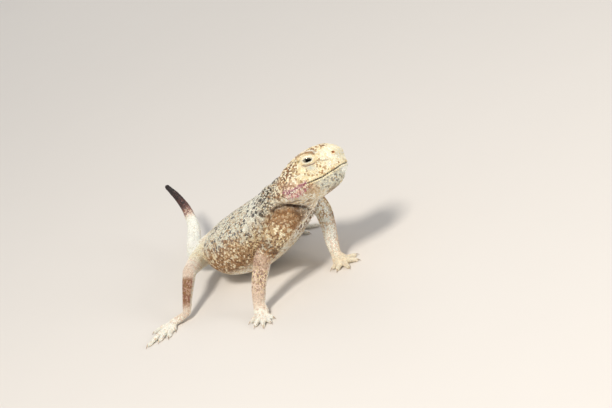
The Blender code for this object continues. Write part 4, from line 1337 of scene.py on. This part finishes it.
def hideGrainGroup():
    # Breaks up a marking with fine mottle, specks of dust and a pebbled surface.
    group = bpy.data.node_groups.new("hideGrain", "ShaderNodeTree")
    face = group.interface
    face.new_socket("Color", in_out="INPUT", socket_type="NodeSocketColor")
    for name, value in (("Grain", 1500.0), ("Mottle", 0.25), ("Dust", 0.2), ("Relief", 0.3), ("Dull", 0.6)):
        face.new_socket(name, in_out="INPUT", socket_type="NodeSocketFloat").default_value = value
    face.new_socket("Color", in_out="OUTPUT", socket_type="NodeSocketColor")
    face.new_socket("Roughness", in_out="OUTPUT", socket_type="NodeSocketFloat")
    face.new_socket("Normal", in_out="OUTPUT", socket_type="NodeSocketVector")
    nodes, links = group.nodes, group.links
    start, end = nodes.new("NodeGroupInput"), nodes.new("NodeGroupOutput")
    place, maths = nodes.new("ShaderNodeTexCoord"), mathsIn(group)

    def noise(scale, detail):
        node = nodes.new("ShaderNodeTexNoise")
        node.inputs["Detail"].default_value = detail
        links.new(place.outputs["Object"], node.inputs["Vector"])
        links.new(scale, node.inputs["Scale"])
        return node.outputs["Fac"]

    grain = start.outputs["Grain"]
    coarse, fine = noise(grain, 3.0), noise(maths("MULTIPLY", grain, 4.0), 2.0)
    cells = nodes.new("ShaderNodeTexVoronoi")
    links.new(place.outputs["Object"], cells.inputs["Vector"])
    links.new(maths("MULTIPLY", grain, 2.4), cells.inputs["Scale"])
    swing = maths("MULTIPLY", maths("SUBTRACT", coarse, 0.5), start.outputs["Mottle"])
    bright = maths("ADD", 1.0, maths("MULTIPLY", swing, 2.4))
    tinted = nodes.new("ShaderNodeMix")
    tinted.data_type = "RGBA"
    tinted.blend_type = "MULTIPLY"
    tinted.inputs[0].default_value = 1.0
    joined = nodes.new("ShaderNodeCombineColor")
    for socket, share in zip(joined.inputs, (1.0, 0.99, 0.96)):
        links.new(maths("MULTIPLY", bright, share), socket)
    links.new(start.outputs["Color"], tinted.inputs[6])
    links.new(joined.outputs[0], tinted.inputs[7])
    dusty = nodes.new("ShaderNodeMix")
    dusty.data_type = "RGBA"
    dusty.inputs[7].default_value = (0.60, 0.47, 0.33, 1)
    amount = maths("MULTIPLY", maths("GREATER_THAN", fine, 0.56), start.outputs["Dust"])
    links.new(amount, dusty.inputs[0])
    links.new(tinted.outputs[2], dusty.inputs[6])
    rough = maths("ADD", start.outputs["Dull"], maths("MULTIPLY", maths("SUBTRACT", fine, 0.5), 0.35))
    height = maths("ADD", maths("MULTIPLY", cells.outputs["Distance"], -0.6), fine)
    relief = nodes.new("ShaderNodeBump")
    relief.inputs["Distance"].default_value = 0.00006
    links.new(start.outputs["Relief"], relief.inputs["Strength"])
    links.new(height, relief.inputs["Height"])
    links.new(dusty.outputs[2], end.inputs["Color"])
    links.new(rough, end.inputs["Roughness"])
    links.new(relief.outputs["Normal"], end.inputs["Normal"])
    return group


hideGrain = hideGrainGroup()


def tintedMaterial(name, grain, mottle, dust, relief, dull):
    material, tree, shader = newMaterial(name)
    marking = tree.nodes.new("ShaderNodeAttribute")
    marking.attribute_name = "tint"
    effect = tree.nodes.new("ShaderNodeGroup")
    effect.node_tree = hideGrain
    for socket, value in (("Grain", grain), ("Mottle", mottle), ("Dust", dust), ("Relief", relief),
                          ("Dull", dull)):
        effect.inputs[socket].default_value = value
    tree.links.new(marking.outputs["Color"], effect.inputs["Color"])
    for out, socket in (("Color", "Base Color"), ("Roughness", "Roughness"), ("Normal", "Normal")):
        tree.links.new(effect.outputs[out], shader.inputs[socket])
    return material, shader


def hideMaterial(name, grain, mottle, dust, relief, dull, glow=0.08):
    material, shader = tintedMaterial(name, grain, mottle, dust, relief, dull)
    shader.inputs["Subsurface Weight"].default_value = glow
    shader.inputs["Subsurface Radius"].default_value = (0.0009, 0.0005, 0.0003)
    shader.inputs["Subsurface Scale"].default_value = 1.0
    shader.inputs["Specular IOR Level"].default_value = 0.42
    return material


finishes = dict(
    skin=hideMaterial("skinHide", 1300, 0.35, 0.25, 0.5, 0.72),
    head=hideMaterial("headScaleHorn", 1700, 0.22, 0.10, 0.25, 0.50, 0.10),
    body=hideMaterial("bodyScaleHorn", 1500, 0.30, 0.16, 0.3, 0.56),
    limb=hideMaterial("limbScaleHorn", 1600, 0.26, 0.12, 0.3, 0.55, 0.10),
    foot=hideMaterial("footScaleHorn", 1800, 0.16, 0.08, 0.2, 0.52, 0.16),
    tail=hideMaterial("tailScaleHorn", 1500, 0.14, 0.06, 0.25, 0.50, 0.10),
    tailTip=hideMaterial("tailTipScaleHorn", 1500, 0.30, 0.05, 0.3, 0.48, 0.0),
    flap=hideMaterial("flapScaleSkin", 1900, 0.22, 0.05, 0.3, 0.50, 0.25),
    comb=hideMaterial("combScaleHorn", 2200, 0.10, 0.04, 0.15, 0.46, 0.2),
)


# The skin itself.

fleshNodes = ["head", "jaw", "flap_left", "flap_right", "neck", "torso", "tail_base", "tail_middle",
              "tail_tip"]
for limbTag in ("left", "right"):
    fleshNodes += [part + limbTag for part in ("upper_arm_", "forearm_", "hand_", "thigh_", "shank_",
                                               "foot_")]


def addPiece(item, nodes):
    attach(item, "root")
    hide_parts(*nodes)


def dressSkin(mesh):
    co, _ = arraysOf(mesh)
    normals = normalsOf(mesh, co)
    place = locate(co)
    chance = np.clip((softNoise(co, 0.7, 101) - 0.5) * 1.5 + 0.5, 0, 1)
    # Painted shade: the skin shows only in the gaps between the scales and is darkened there, most on the
    # body, less on the head, the tail, the palms and the digits.
    pale = np.where(kindOf[place["owner"]] == "head", 0.88, 0.72)
    pale = np.where((kindOf[place["owner"]] == "trunk") & (place["runs"][axisIndex["trunk"]] > 60), 0.88,
                    pale)
    pale = np.where(np.char.endswith(kindOf[place["owner"]], "Palm"), 0.82, pale)
    pale = np.where(np.char.endswith(kindOf[place["owner"]], "Digit"), 0.84, pale)
    tint = paint(co, normals, place, chance) * pale[:, None]
    local = toHead(co)
    for hand in (1, -1):  # the lids' own margins stay bright
        inside, _, _, reach, _, facing = lidEdge(local, hand)
        margin = smooth(-0.5, -0.3, inside) * smooth(0.06, -0.04, inside) * (reach < 3.5) * (facing > 0.4)
        tint = mixed(tint, tones["white"] * 0.85, margin)
    # Each nostril: an orange rim, its own colour, and painted shade in its hollow, a darker rust.
    for spot, _ in nostrils:
        across = np.linalg.norm(co - spot, axis=1)
        tint = mixed(tint, tones["orange"], smooth(0.80, 0.55, across))
        tint = mixed(tint, tones["rust"] * 0.55, smooth(0.45, 0.2, across))
    x, y, z = local.T
    # Painted shade: the skin along the mouth slit is darkened to a deep umber.
    gap = smooth(0.34, 0.16, np.abs(z - mouthLevel(x))) * smooth(-1.7, -1.2, x)
    tint = mixed(tint, tones["umber"] * 0.7, 0.85 * gap * (place["gaps"][axisIndex["head"]] < 1.2))
    tintMesh(mesh, tint)
    mesh.vertices.foreach_set("co", (co * millimetre).ravel())
    mesh.update()
    mesh.materials.clear()
    mesh.materials.append(finishes["skin"])
    addPiece(linked("skin", mesh), fleshNodes)


roots, rootNormals, rootSizes, rootTags = scatterScales(skinMesh)
print("scale roots", len(roots))


def regionPlan(place, p):
    # Region name -> mask, replaced nodes, slot, finish.
    plan = []
    owner = place["owner"]
    trunk = owner == axisIndex["trunk"]
    run = place["runs"][axisIndex["trunk"]]
    sideways = p[:, 1] > np.interp(-run, -np.array(axes[0]["run"])[::-1], axes[0]["centre"][::-1, 1])
    plan.append(("head_scales", owner == axisIndex["head"], ["head", "jaw"], "head_skin", "head"))
    for tag in ("left", "right"):
        plan.append(("flap_scales_" + tag, owner == axisIndex["flap_" + tag], ["flap_" + tag], "flap_skin",
                     "flap"))
    plan.append(("neck_scales", trunk & (run < 12), ["neck"], "body_skin", "body"))
    for name, low, high in (("front", 12, 29), ("middle", 29, 43), ("rear", 43, 61)):
        for tag, half in (("left", sideways), ("right", ~sideways)):
            mask = trunk & (run >= low) & (run < high) & half
            plan.append(("torso_scales_%s_%s" % (name, tag), mask, ["torso"], "body_skin", "body"))
    plan.append(("tail_scales", trunk & (run >= 61) & (run < 93.5), ["tail_base", "tail_middle"],
                 "tail_skin", "tail"))
    plan.append(("tail_tip_scales", trunk & (run >= 93.5), ["tail_tip"], "tail_tip_skin", "tailTip"))
    for label in limbRows:
        kind, tag = label.split("_")
        names = ("upper_arm_", "forearm_", "hand_") if kind == "arm" else ("thigh_", "shank_", "foot_")
        limb = (owner == axisIndex[label + "_upper"]) | (owner == axisIndex[label + "_lower"])
        plan.append((label + "_scales", limb, [names[0] + tag, names[1] + tag], "limb_skin", "limb"))
        foot = owner == axisIndex[label + "_palm"]
        for k in range(5):
            foot |= owner == axisIndex[label + "_digit%d" % k]
        plan.append((names[2] + tag + "_scales", foot, [names[2] + tag], "foot_skin", "foot"))
    return plan


def dressScales():
    place = locate(roots)
    rng = np.random.default_rng(scaleSizes["seed"] + 1)
    chance = rng.random(len(roots))
    colour = paint(roots, rootNormals, place, chance)
    colour *= (0.92 + 0.16 * rng.random(len(roots)))[:, None]
    colour[rootTags == 2] = tones["ivory"] * 0.96
    lips = rootTags == 1
    colour[lips] = mixed(colour[lips], tones["yellowCream"], np.full(lips.sum(), 0.45))
    colour[rootTags == 4] = mixed(colour[rootTags == 4], tones["butter"], np.full((rootTags == 4).sum(), 0.6))
    form = scaleFormAt(roots, place, rootTags)
    form[:, 0] *= 0.85 + 0.3 * rng.random(len(roots))
    chart = chartOf(roots, place)
    shares = {"head": (8, 3), "flap": (7, 3)}
    total = 0
    for name, mask, nodes, slotName, finish in regionPlan(place, roots):
        sides, rings = shares.get(finish, (scaleSizes["sides"], 2))
        radii = regionRadii[sides][mask]
        item = buildScales(name, roots[mask], rootNormals[mask], place["lie"][mask], radii, form[mask],
                           colour[mask],
                           chart[mask], finishes[finish], sides, rings, 0.80 if finish == "head" else 0.66)
        addPiece(item, nodes)
        item.data.calc_loop_triangles()
        total += len(item.data.loop_triangles)
        print(name, int(mask.sum()), "scales", len(item.data.loop_triangles), "triangles")
    print("scale triangles", total)


dressSkin(skinMesh)
rootPlace = locate(roots)
regionRadii = {sides: cellRadii(roots, rootNormals, rootPlace["lie"], rootSizes, sides) for sides in (7, 8)}
dressScales()


# Combs and fringes: one spine form set on points.

combSizes = dict(sides=7, bend=0.35, flatten=0.62, seed=11)


def combTree(material):
    # Sets a bent, tapered spine on each point, along its own aim, with its own girth and length.
    tree = bpy.data.node_groups.new("combTree", "GeometryNodeTree")
    face = tree.interface
    face.new_socket("Geometry", in_out="INPUT", socket_type="NodeSocketGeometry")
    for name, kind, value in (("Sides", "NodeSocketInt", 7), ("Bend", "NodeSocketFloat", 0.3),
                              ("Flatten", "NodeSocketFloat", 0.6), ("Variation", "NodeSocketFloat", 0.15),
                              ("Seed", "NodeSocketInt", 11)):
        face.new_socket(name, in_out="INPUT", socket_type=kind).default_value = value
    face.new_socket("Geometry", in_out="OUTPUT", socket_type="NodeSocketGeometry")
    nodes, links, maths = tree.nodes, tree.links, mathsIn(tree)
    start, end = nodes.new("NodeGroupInput"), nodes.new("NodeGroupOutput")

    def named(name, kind):
        node = nodes.new("GeometryNodeInputNamedAttribute")
        node.data_type = kind
        node.inputs["Name"].default_value = name
        return node.outputs["Attribute"]

    spine = nodes.new("GeometryNodeMeshCone")
    spine.inputs["Side Segments"].default_value = 4
    spine.inputs["Radius Top"].default_value = 0.03
    spine.inputs["Radius Bottom"].default_value = 1.0
    spine.inputs["Depth"].default_value = 1.0
    links.new(start.outputs["Sides"], spine.inputs["Vertices"])
    position = nodes.new("GeometryNodeInputPosition")
    split = nodes.new("ShaderNodeSeparateXYZ")
    links.new(position.outputs[0], split.inputs[0])
    height = split.outputs["Z"]
    fuller = maths("ADD", 1.0, maths("MULTIPLY", maths("MULTIPLY", height, maths("SUBTRACT", 1.0, height)),
                                     1.1))
    curve = maths("MULTIPLY", maths("MULTIPLY", height, height), start.outputs["Bend"])
    joined = nodes.new("ShaderNodeCombineXYZ")
    links.new(maths("ADD", maths("MULTIPLY", split.outputs["X"], fuller), curve), joined.inputs["X"])
    links.new(maths("MULTIPLY", maths("MULTIPLY", split.outputs["Y"], fuller), start.outputs["Flatten"]),
              joined.inputs["Y"])
    links.new(height, joined.inputs["Z"])
    shaped = nodes.new("GeometryNodeSetPosition")
    links.new(spine.outputs["Mesh"], shaped.inputs["Geometry"])
    links.new(joined.outputs[0], shaped.inputs["Position"])
    smoothed = nodes.new("GeometryNodeSetShadeSmooth")
    links.new(shaped.outputs["Geometry"], smoothed.inputs["Geometry"])
    aim = nodes.new("FunctionNodeAxesToRotation")
    aim.primary_axis, aim.secondary_axis = "Z", "X"
    links.new(named("aim", "FLOAT_VECTOR"), aim.inputs[0])
    links.new(named("lean", "FLOAT_VECTOR"), aim.inputs[1])
    chanceNode = nodes.new("FunctionNodeRandomValue")
    chanceNode.data_type = "FLOAT"
    links.new(start.outputs["Seed"], chanceNode.inputs["Seed"])
    vary = maths("ADD", 1.0, maths("MULTIPLY", maths("SUBTRACT", chanceNode.outputs[1], 0.5),
                                   start.outputs["Variation"]))
    sizes = nodes.new("ShaderNodeCombineXYZ")
    girth, length = named("girth", "FLOAT"), named("length", "FLOAT")
    links.new(girth, sizes.inputs["X"])
    links.new(girth, sizes.inputs["Y"])
    links.new(maths("MULTIPLY", length, vary), sizes.inputs["Z"])
    setOn = nodes.new("GeometryNodeInstanceOnPoints")
    links.new(start.outputs["Geometry"], setOn.inputs["Points"])
    links.new(smoothed.outputs["Geometry"], setOn.inputs["Instance"])
    links.new(aim.outputs[0], setOn.inputs["Rotation"])
    links.new(sizes.outputs[0], setOn.inputs["Scale"])
    real = nodes.new("GeometryNodeRealizeInstances")
    links.new(setOn.outputs["Instances"], real.inputs["Geometry"])
    cover = nodes.new("GeometryNodeSetMaterial")
    cover.inputs["Material"].default_value = material
    links.new(real.outputs["Geometry"], cover.inputs["Geometry"])
    links.new(cover.outputs["Geometry"], end.inputs["Geometry"])
    return tree


combForm = combTree(finishes["comb"])


def growCombs(name, rows, nodes, finish=None):
    # rows: base, aim, lean, girth, length, colour.
    base, aim, lean = (np.array([r[k] for r in rows], float) for k in range(3))
    girth, length = (np.array([r[k] for r in rows], float) for k in (3, 4))
    colour = np.array([r[5] for r in rows], float)
    chart = chartOf(base, locate(base))
    seedMesh = bpy.data.meshes.new(name + "Seeds")
    seedMesh.from_pydata([tuple(v) for v in base * millimetre], [], [])
    for label, kind, field, values in (("aim", "FLOAT_VECTOR", "vector", unit(aim)),
                                       ("lean", "FLOAT_VECTOR", "vector", unit(lean)),
                                       ("girth", "FLOAT", "value", girth * millimetre),
                                       ("length", "FLOAT", "value", length * millimetre),
                                       ("tint", "FLOAT_COLOR", "color",
                                        np.column_stack([colour, np.ones(len(colour))])),
                                       ("rootPlace", "FLOAT_VECTOR", "vector",
                                        np.column_stack([chart, np.zeros(len(chart))]))):
        layer = seedMesh.attributes.new(label, kind, "POINT")
        layer.data.foreach_set(field, np.ascontiguousarray(values, np.float32).ravel())
    seeds = linked(name + "Seeds", seedMesh)
    step = seeds.modifiers.new("combs", "NODES")
    step.node_group = combForm
    for socket in combForm.interface.items_tree:
        if socket.item_type == "SOCKET" and socket.in_out == "INPUT" and socket.name in ("Sides", "Bend",
                                                                                         "Flatten", "Seed"):
            step[socket.identifier] = combSizes[socket.name.lower()]
    mesh = evaluated(seeds)
    co, _ = arraysOf(mesh)
    co[:, 2] = np.maximum(co[:, 2], 0.00001)
    mesh.vertices.foreach_set("co", co.ravel())
    perVertex = np.zeros(len(mesh.vertices) * 3)
    mesh.attributes["rootPlace"].data.foreach_get("vector", perVertex)
    corners = np.zeros(len(mesh.loops), int)
    mesh.loops.foreach_get("vertex_index", corners)
    rooted = perVertex.reshape(-1, 3)[corners][:, :2]
    spread = (latticeRandom(np.stack([corners, corners * 3, corners * 7], 1), 5)[:, None] - 0.5) * 0.0024
    for old in list(mesh.uv_layers):
        mesh.uv_layers.remove(old)
    bake = mesh.uv_layers.new(name="OFBake")
    bake.data.foreach_set("uv", (rooted + spread * (1, -1)).ravel())
    mesh.materials.clear()
    mesh.materials.append(finish or finishes["comb"])
    mesh.update()
    item = linked(name, mesh)
    mesh.calc_loop_triangles()
    print(name, len(rows), "spines", len(mesh.loop_triangles), "triangles")
    addPiece(item, nodes)


fringeSizes = dict(toePitch=0.42, toeLength=1.0, fingerPitch=0.42, fingerLength=0.30, girth=0.17,
                   lidPitch=0.30, lidLength=0.24, flapPitch=0.36, flapLength=0.85)


def toeCombs(label):
    kind = label.split("_")[0]
    rows = []
    for finger in range(5):
        axis = axes[axisIndex[label + "_digit%d" % finger]]
        longToe = kind == "leg" and finger in (1, 2, 3)
        pitch = fringeSizes["toePitch"] if kind == "leg" else fringeSizes["fingerPitch"]
        length = fringeSizes["toeLength"] if longToe else fringeSizes["fingerLength"]
        count = int(axis["run"][-1] / pitch)
        for hand in (1, -1):
            for j in range(count):
                share = (j + 0.5) / count
                if share < 0.16:
                    continue
                k = int(share * (len(axis["run"]) - 1))
                side, along = axis["side"][k] * hand, axis["along"][k]
                base = axis["centre"][k] + side * (axis["width"][k] - 0.28) - axis["top"][k] * 0.10
                aim = side + along * 0.32 + np.array((0, 0, -0.16))
                size = length * (0.55 + 0.45 * math.sin(math.pi * min(1, share * 1.15)))
                rows.append((base, aim, along, fringeSizes["girth"], size, tones["white"]))
    return rows


for label in limbRows:
    kind, tag = label.split("_")
    nodeName = ("hand_" if kind == "arm" else "foot_") + tag
    growCombs(nodeName + "_fringe", toeCombs(label), [nodeName])


def lidCombs():
    rows = []
    for hand in (1, -1):
        out, forward, upward = (v @ headMatrix.T for v in eyeAxes(hand))
        middle = fromHead(mirrored(eyeSizes["centre"], hand))
        for upper in (True, False):
            path = evenly(lidPath(hand, upper, -0.08), fringeSizes["lidPitch"])
            for q in path[1:-1]:
                ray = unit(q - middle)
                spread = (upward if upper else -upward)
                base = middle + ray * (eyeSizes["lidRadius"] - 0.12) + spread * 0.10
                aim = ray * 0.7 + spread * 0.9
                rows.append((base, aim, -spread, 0.11, fringeSizes["lidLength"], tones["white"]))
    return rows


growCombs("lid_combs", lidCombs(), ["head"])


def flapSpines(tag):
    # Pointed scales along the free lower edge of the folded mouth flap, in three ranks.
    hand = 1 if tag == "left" else -1
    axis = axes[axisIndex["flap_" + tag]]
    rng = np.random.default_rng(23 + hand)
    outward = np.array((0.0, hand, 0.0)) @ headMatrix.T
    rows = []
    count = int(axis["run"][-1] / fringeSizes["flapPitch"])
    for rank, (turn, share) in enumerate(((-0.50, 1.0), (-0.42, 0.8), (-0.33, 0.62), (-0.2, 0.42))):
        for j in range(count):
            t = (j + 0.5 * (rank % 2) + 0.3) / count
            k = min(len(axis["run"]) - 1, int(t * (len(axis["run"]) - 1)))
            lateral = axis["side"][k] * np.sign(axis["side"][k] @ outward)
            ringDown = -axis["top"][k] * axis["below"][k] * math.sin(-turn * math.pi) * 0.92
            base = axis["centre"][k] + ringDown + lateral * axis["width"][k] * math.cos(turn * math.pi) * 0.9
            aim = unit(ringDown) * 1.0 + lateral * (0.35 + 0.25 * rank) + axis["along"][k] * 0.45
            aim = aim + (rng.random(3) - 0.5) * 0.35
            taper = 0.55 + 0.45 * math.sin(math.pi * min(1, t))
            length = fringeSizes["flapLength"] * share * taper * (0.8 + 0.4 * rng.random())
            tone = mixed(tones["rose"], tones["pink"], np.array([rng.random()]))[0]
            tone = tones["magenta"] if rng.random() < 0.20 else tones["bone"] if rng.random() < 0.5 else tone
            rows.append((base, aim, axis["along"][k], 0.15, length, tone))
    return rows


for tag in ("left", "right"):
    growCombs("flap_fringe_" + tag, flapSpines(tag), ["flap_" + tag], finishes["flap"])


# Claws.

clawSizes = dict(length=1.7, root=0.27, sides=9, rings=11, tone=(0.86, 0.79, 0.68),
                 tipTone=(0.56, 0.44, 0.34))


def clawMaterial():
    material, shader = tintedMaterial("clawHorn", 2600.0, 0.2, 0.0, 0.12, 0.32)
    shader.inputs["Subsurface Weight"].default_value = 0.2
    shader.inputs["Subsurface Radius"].default_value = (0.0006, 0.0004, 0.0002)
    return material


def buildClaws(label, material):
    kind, tag = label.split("_")
    verts, faces, tints = [], [], []
    spec = limbRows[label]
    root = np.array(spec["palm"][-1][:2])
    n, m = clawSizes["sides"], clawSizes["rings"]
    for tip in spec["digits"]:
        path, ahead = digitPath(kind, root, tip)
        nail = np.array(path[-1][:3]) + frameShift
        ahead = np.array((*ahead, 0.0))
        side = np.array((-ahead[1], ahead[0], 0.0))
        first = len(verts)
        for r in range(m):
            t = r / (m - 1)
            reach = -0.25 + t * (clawSizes["length"] + 0.10)
            rise = 0.10 + 0.38 * math.sin(math.pi * min(1.0, 0.25 + 0.62 * t)) - 0.72 * t * t
            centre = nail + ahead * reach + np.array((0, 0, rise - 0.14))
            girth = clawSizes["root"] * (1 - t) ** 0.72 * (1.0 if t else 0.9) + 0.015
            for j in range(n):
                a = 2 * math.pi * j / n
                spot = centre + side * girth * 0.72 * math.cos(a) + np.array((0, 0,
                                                                              1.0)) * girth * math.sin(a)
                spot[2] = max(spot[2], 0.02)
                verts.append(spot)
                tints.append(mixed(linearColour(clawSizes["tone"]), linearColour(clawSizes["tipTone"]),
                                   np.array([t]))[0])
        faces += ringFaces(m, n, first)
        faces.append(tuple(first + j for j in reversed(range(n))))
        faces.append(tuple(first + (m - 1) * n + j for j in range(n)))
    mesh = meshFrom("claws_" + label, np.array(verts) * millimetre, faces)
    turnOutward(mesh)
    tintMesh(mesh, np.array(tints))
    mesh.materials.append(material)
    item = linked("claws_" + label, mesh)
    addPiece(item, [("hand_" if kind == "arm" else "foot_") + tag])


clawFinish = clawMaterial()
for label in limbRows:
    buildClaws(label, clawFinish)
print("claws set")


# Eyes: ball with iris and pupil, under a clear cornea.

irisSizes = dict(irisAngle=46.0, pupilAngle=33.0, bowl=0.16, pupilDepth=0.22, corneaRise=0.16,
                 corneaAngle=52.0, merge=2e-7,
                 iris=(0.04, 0.03, 0.02), irisRim=(0.02, 0.02, 0.02), gold=(0.08, 0.05, 0.03),
                 white=(0.03, 0.02, 0.02))


def eyeMaterials():
    ball, tree, shader = newMaterial("eyeBall")
    marking = tree.nodes.new("ShaderNodeAttribute")
    marking.attribute_name = "tint"
    place = tree.nodes.new("ShaderNodeTexCoord")
    fibre = tree.nodes.new("ShaderNodeTexNoise")
    fibre.inputs["Scale"].default_value = 5200.0
    fibre.inputs["Detail"].default_value = 3.0
    tree.links.new(place.outputs["Object"], fibre.inputs["Vector"])
    blend = tree.nodes.new("ShaderNodeMix")
    blend.data_type = "RGBA"
    blend.blend_type = "OVERLAY"
    blend.inputs[0].default_value = 0.06
    tree.links.new(marking.outputs["Color"], blend.inputs[6])
    tree.links.new(fibre.outputs["Color"], blend.inputs[7])
    tree.links.new(blend.outputs[2], shader.inputs["Base Color"])
    shader.inputs["Roughness"].default_value = 0.30
    shader.inputs["Specular IOR Level"].default_value = 0.10
    clear, tree, shader = newMaterial("corneaClear")
    shader.inputs["Base Color"].default_value = (1, 1, 1, 1)
    shader.inputs["Roughness"].default_value = 0.0
    shader.inputs["IOR"].default_value = 1.10
    shader.inputs["Transmission Weight"].default_value = 1.0
    return ball, clear


def turnedGrid(profile, hand, segments=56):
    # Turns a profile of (radius across, height along the eye's axis) round that axis.
    out, forward, upward = (v @ headMatrix.T for v in eyeAxes(hand))
    middle = fromHead(mirrored(eyeSizes["centre"], hand))
    verts = []
    for across, high in profile:
        for j in range(segments):
            a = 2 * math.pi * j / segments
            verts.append(middle + out * high + (forward * math.cos(a) + upward * math.sin(a))
                         * max(across, 1e-4))
    return np.array(verts), ringFaces(len(profile), segments)


def finishEye(name, verts, faces, tint, material, node):
    mesh = meshFrom(name, verts * millimetre, faces)
    turnOutward(mesh, irisSizes["merge"])
    tintMesh(mesh, tint(arraysOf(mesh)[0] / millimetre))
    mesh.materials.append(material)
    item = linked(name, mesh)
    addPiece(item, [node])


def buildEye(hand, tag, ballFinish, clearFinish):
    radius = eyeSizes["radius"] - 0.03
    iris, pupil = math.radians(irisSizes["irisAngle"]), math.radians(irisSizes["pupilAngle"])
    rim = radius * math.cos(iris)
    profile = []
    for t in np.linspace(0, 1, 5)[:-1]:
        profile.append((radius * math.sin(pupil) * t, rim - irisSizes["bowl"] - irisSizes["pupilDepth"]))
    for t in np.linspace(0, 1, 12):
        across = radius * (math.sin(pupil) * (1 - t) + math.sin(iris) * t)
        profile.append((across, rim - irisSizes["bowl"] * (1 - t) ** 2 + 0.03 * math.sin(math.pi * t)))
    for a in np.linspace(iris, math.pi, 26)[1:]:
        profile.append((radius * math.sin(a), radius * math.cos(a)))
    verts, faces = turnedGrid(profile, hand)
    out, forward, upward = (v @ headMatrix.T for v in eyeAxes(hand))
    middle = fromHead(mirrored(eyeSizes["centre"], hand))

    def tint(co):
        rel = co - middle
        high = rel @ out
        across = np.linalg.norm(rel - high[:, None] * out, axis=1)
        turn = np.arctan2(rel @ upward, rel @ forward)
        front = high > 0
        edge, hole = radius * math.sin(iris), radius * math.sin(pupil)
        t = np.clip((across - hole) / (edge - hole), 0, 1)
        streak = 0.5 + 0.5 * np.sin(turn * 23 + 3 * np.sin(turn * 7)) * np.sin(turn * 41)
        colour = mixed(linearColour(irisSizes["gold"]), linearColour(irisSizes["iris"]),
                       smooth(0.02, 0.30, t))
        colour = mixed(colour, linearColour(irisSizes["gold"]), 0.35 * streak * smooth(0.1, 0.4, t))
        colour = mixed(colour, linearColour(irisSizes["irisRim"]), smooth(0.72, 1.0, t))
        colour = mixed(colour, np.array((0.002, 0.002, 0.002)), (across < hole * 1.02) * 1.0)
        return mixed(linearColour(irisSizes["white"]) * np.ones((len(co), 3)), colour,
                     (front & (across < edge * 1.01)) * 1.0)

    finishEye("eyeball_" + tag, verts, faces, tint, ballFinish, "eye_" + tag)
    edge = math.radians(irisSizes["corneaAngle"])
    lens = []
    for t in np.linspace(0, 1, 14):
        a = edge * t
        lens.append((radius * math.sin(a),
                     radius * math.cos(a) + irisSizes["corneaRise"] * (1 - t * t) + 0.012))
    low = radius * math.cos(edge) - 0.02
    back = [(radius * math.sin(edge) * (1 - t), low + (rim + 0.02 - low) * smooth(0, 0.25, t))
            for t in np.linspace(0, 1, 8)]
    verts, faces = turnedGrid(lens + back, hand, 48)
    finishEye("cornea_" + tag, verts, faces, lambda co: np.ones((len(co), 3)), clearFinish, "eye_" + tag)


ballFinish, clearFinish = eyeMaterials()
for hand, tag in ((1, "left"), (-1, "right")):
    buildEye(hand, tag, ballFinish, clearFinish)
print("eyes set")


# Floor, light and camera.

stageSizes = dict(floor=6.0, floorTone=(0.72, 0.67, 0.61), key=6.4, fill=2.3, rim=1.0, sky=0.53)


def floorMaterial():
    material, tree, shader = newMaterial("floorPaper")
    place = tree.nodes.new("ShaderNodeTexCoord")
    noise = tree.nodes.new("ShaderNodeTexNoise")
    noise.inputs["Scale"].default_value = 35.0
    tree.links.new(place.outputs["Object"], noise.inputs["Vector"])
    ramp = tree.nodes.new("ShaderNodeValToRGB")
    pale = np.array(stageSizes["floorTone"])
    ramp.color_ramp.elements[0].color = (*(pale * 0.985), 1)
    ramp.color_ramp.elements[1].color = (*pale, 1)
    tree.links.new(noise.outputs["Fac"], ramp.inputs["Fac"])
    tree.links.new(ramp.outputs["Color"], shader.inputs["Base Color"])
    shader.inputs["Roughness"].default_value = 0.9
    return material


half = stageSizes["floor"] / 2
floorMesh = meshFrom("floor", [(-half, -half, 0), (half, -half, 0), (half, half, 0), (-half, half, 0)],
                     [(0, 1, 2, 3)])
floorMesh.materials.append(floorMaterial())
floorItem = linked("floor", floorMesh)

centre = Vector((0.0, 0.0, 0.018))


def softLamp(name, place, size, power, tone):
    lamp = bpy.data.lights.new(name, "AREA")
    lamp.shape = "DISK"
    lamp.size = size
    lamp.energy = power
    lamp.color = tone
    item = linked(name, lamp)
    item.location = place
    item.rotation_mode = "QUATERNION"
    item.rotation_quaternion = (centre - Vector(place)).to_track_quat("-Z", "Y")


softLamp("keyLamp", (0.30, -0.40, 0.78), 0.22, stageSizes["key"], (1.0, 0.96, 0.90))
softLamp("fillLamp", (0.85, 0.15, 0.30), 0.25, stageSizes["fill"], (0.95, 0.97, 1.0))
softLamp("rimLamp", (-0.6, 0.5, 0.5), 0.5, stageSizes["rim"], (1.0, 0.98, 0.95))

world = bpy.data.worlds.new("paleRoom")
world.use_nodes = True
world.node_tree.nodes["Background"].inputs["Color"].default_value = (0.86, 0.90, 0.96, 1)
world.node_tree.nodes["Background"].inputs["Strength"].default_value = stageSizes["sky"]
bpy.context.scene.world = world
bpy.context.scene.view_settings.view_transform = "Standard"

cameraSizes = dict(azimuth=55.0, elevation=20.0, roll=27.3, lens=100.0, place=(0.43353, -0.26359, 0.19655))
a, e, r = (math.radians(cameraSizes[k]) for k in ("azimuth", "elevation", "roll"))
back = Vector((math.sin(a) * math.cos(e), -math.cos(a) * math.cos(e), math.sin(e)))
right = Vector((math.cos(a), math.sin(a), 0.0))
upright = back.cross(right)
imageRight = right * math.cos(r) - upright * math.sin(r)
imageUp = right * math.sin(r) + upright * math.cos(r)
camera = bpy.data.cameras.new("camera")
camera.lens = cameraSizes["lens"]
camera.sensor_width = 36.0
camera.clip_start, camera.clip_end = 0.01, 20.0
cameraItem = linked("camera", camera)
cameraItem.matrix_world = Matrix((
    (imageRight.x, imageUp.x, back.x, cameraSizes["place"][0]),
    (imageRight.y, imageUp.y, back.y, cameraSizes["place"][1]),
    (imageRight.z, imageUp.z, back.z, cameraSizes["place"][2]),
    (0, 0, 0, 1),
))
bpy.context.scene.camera = cameraItem
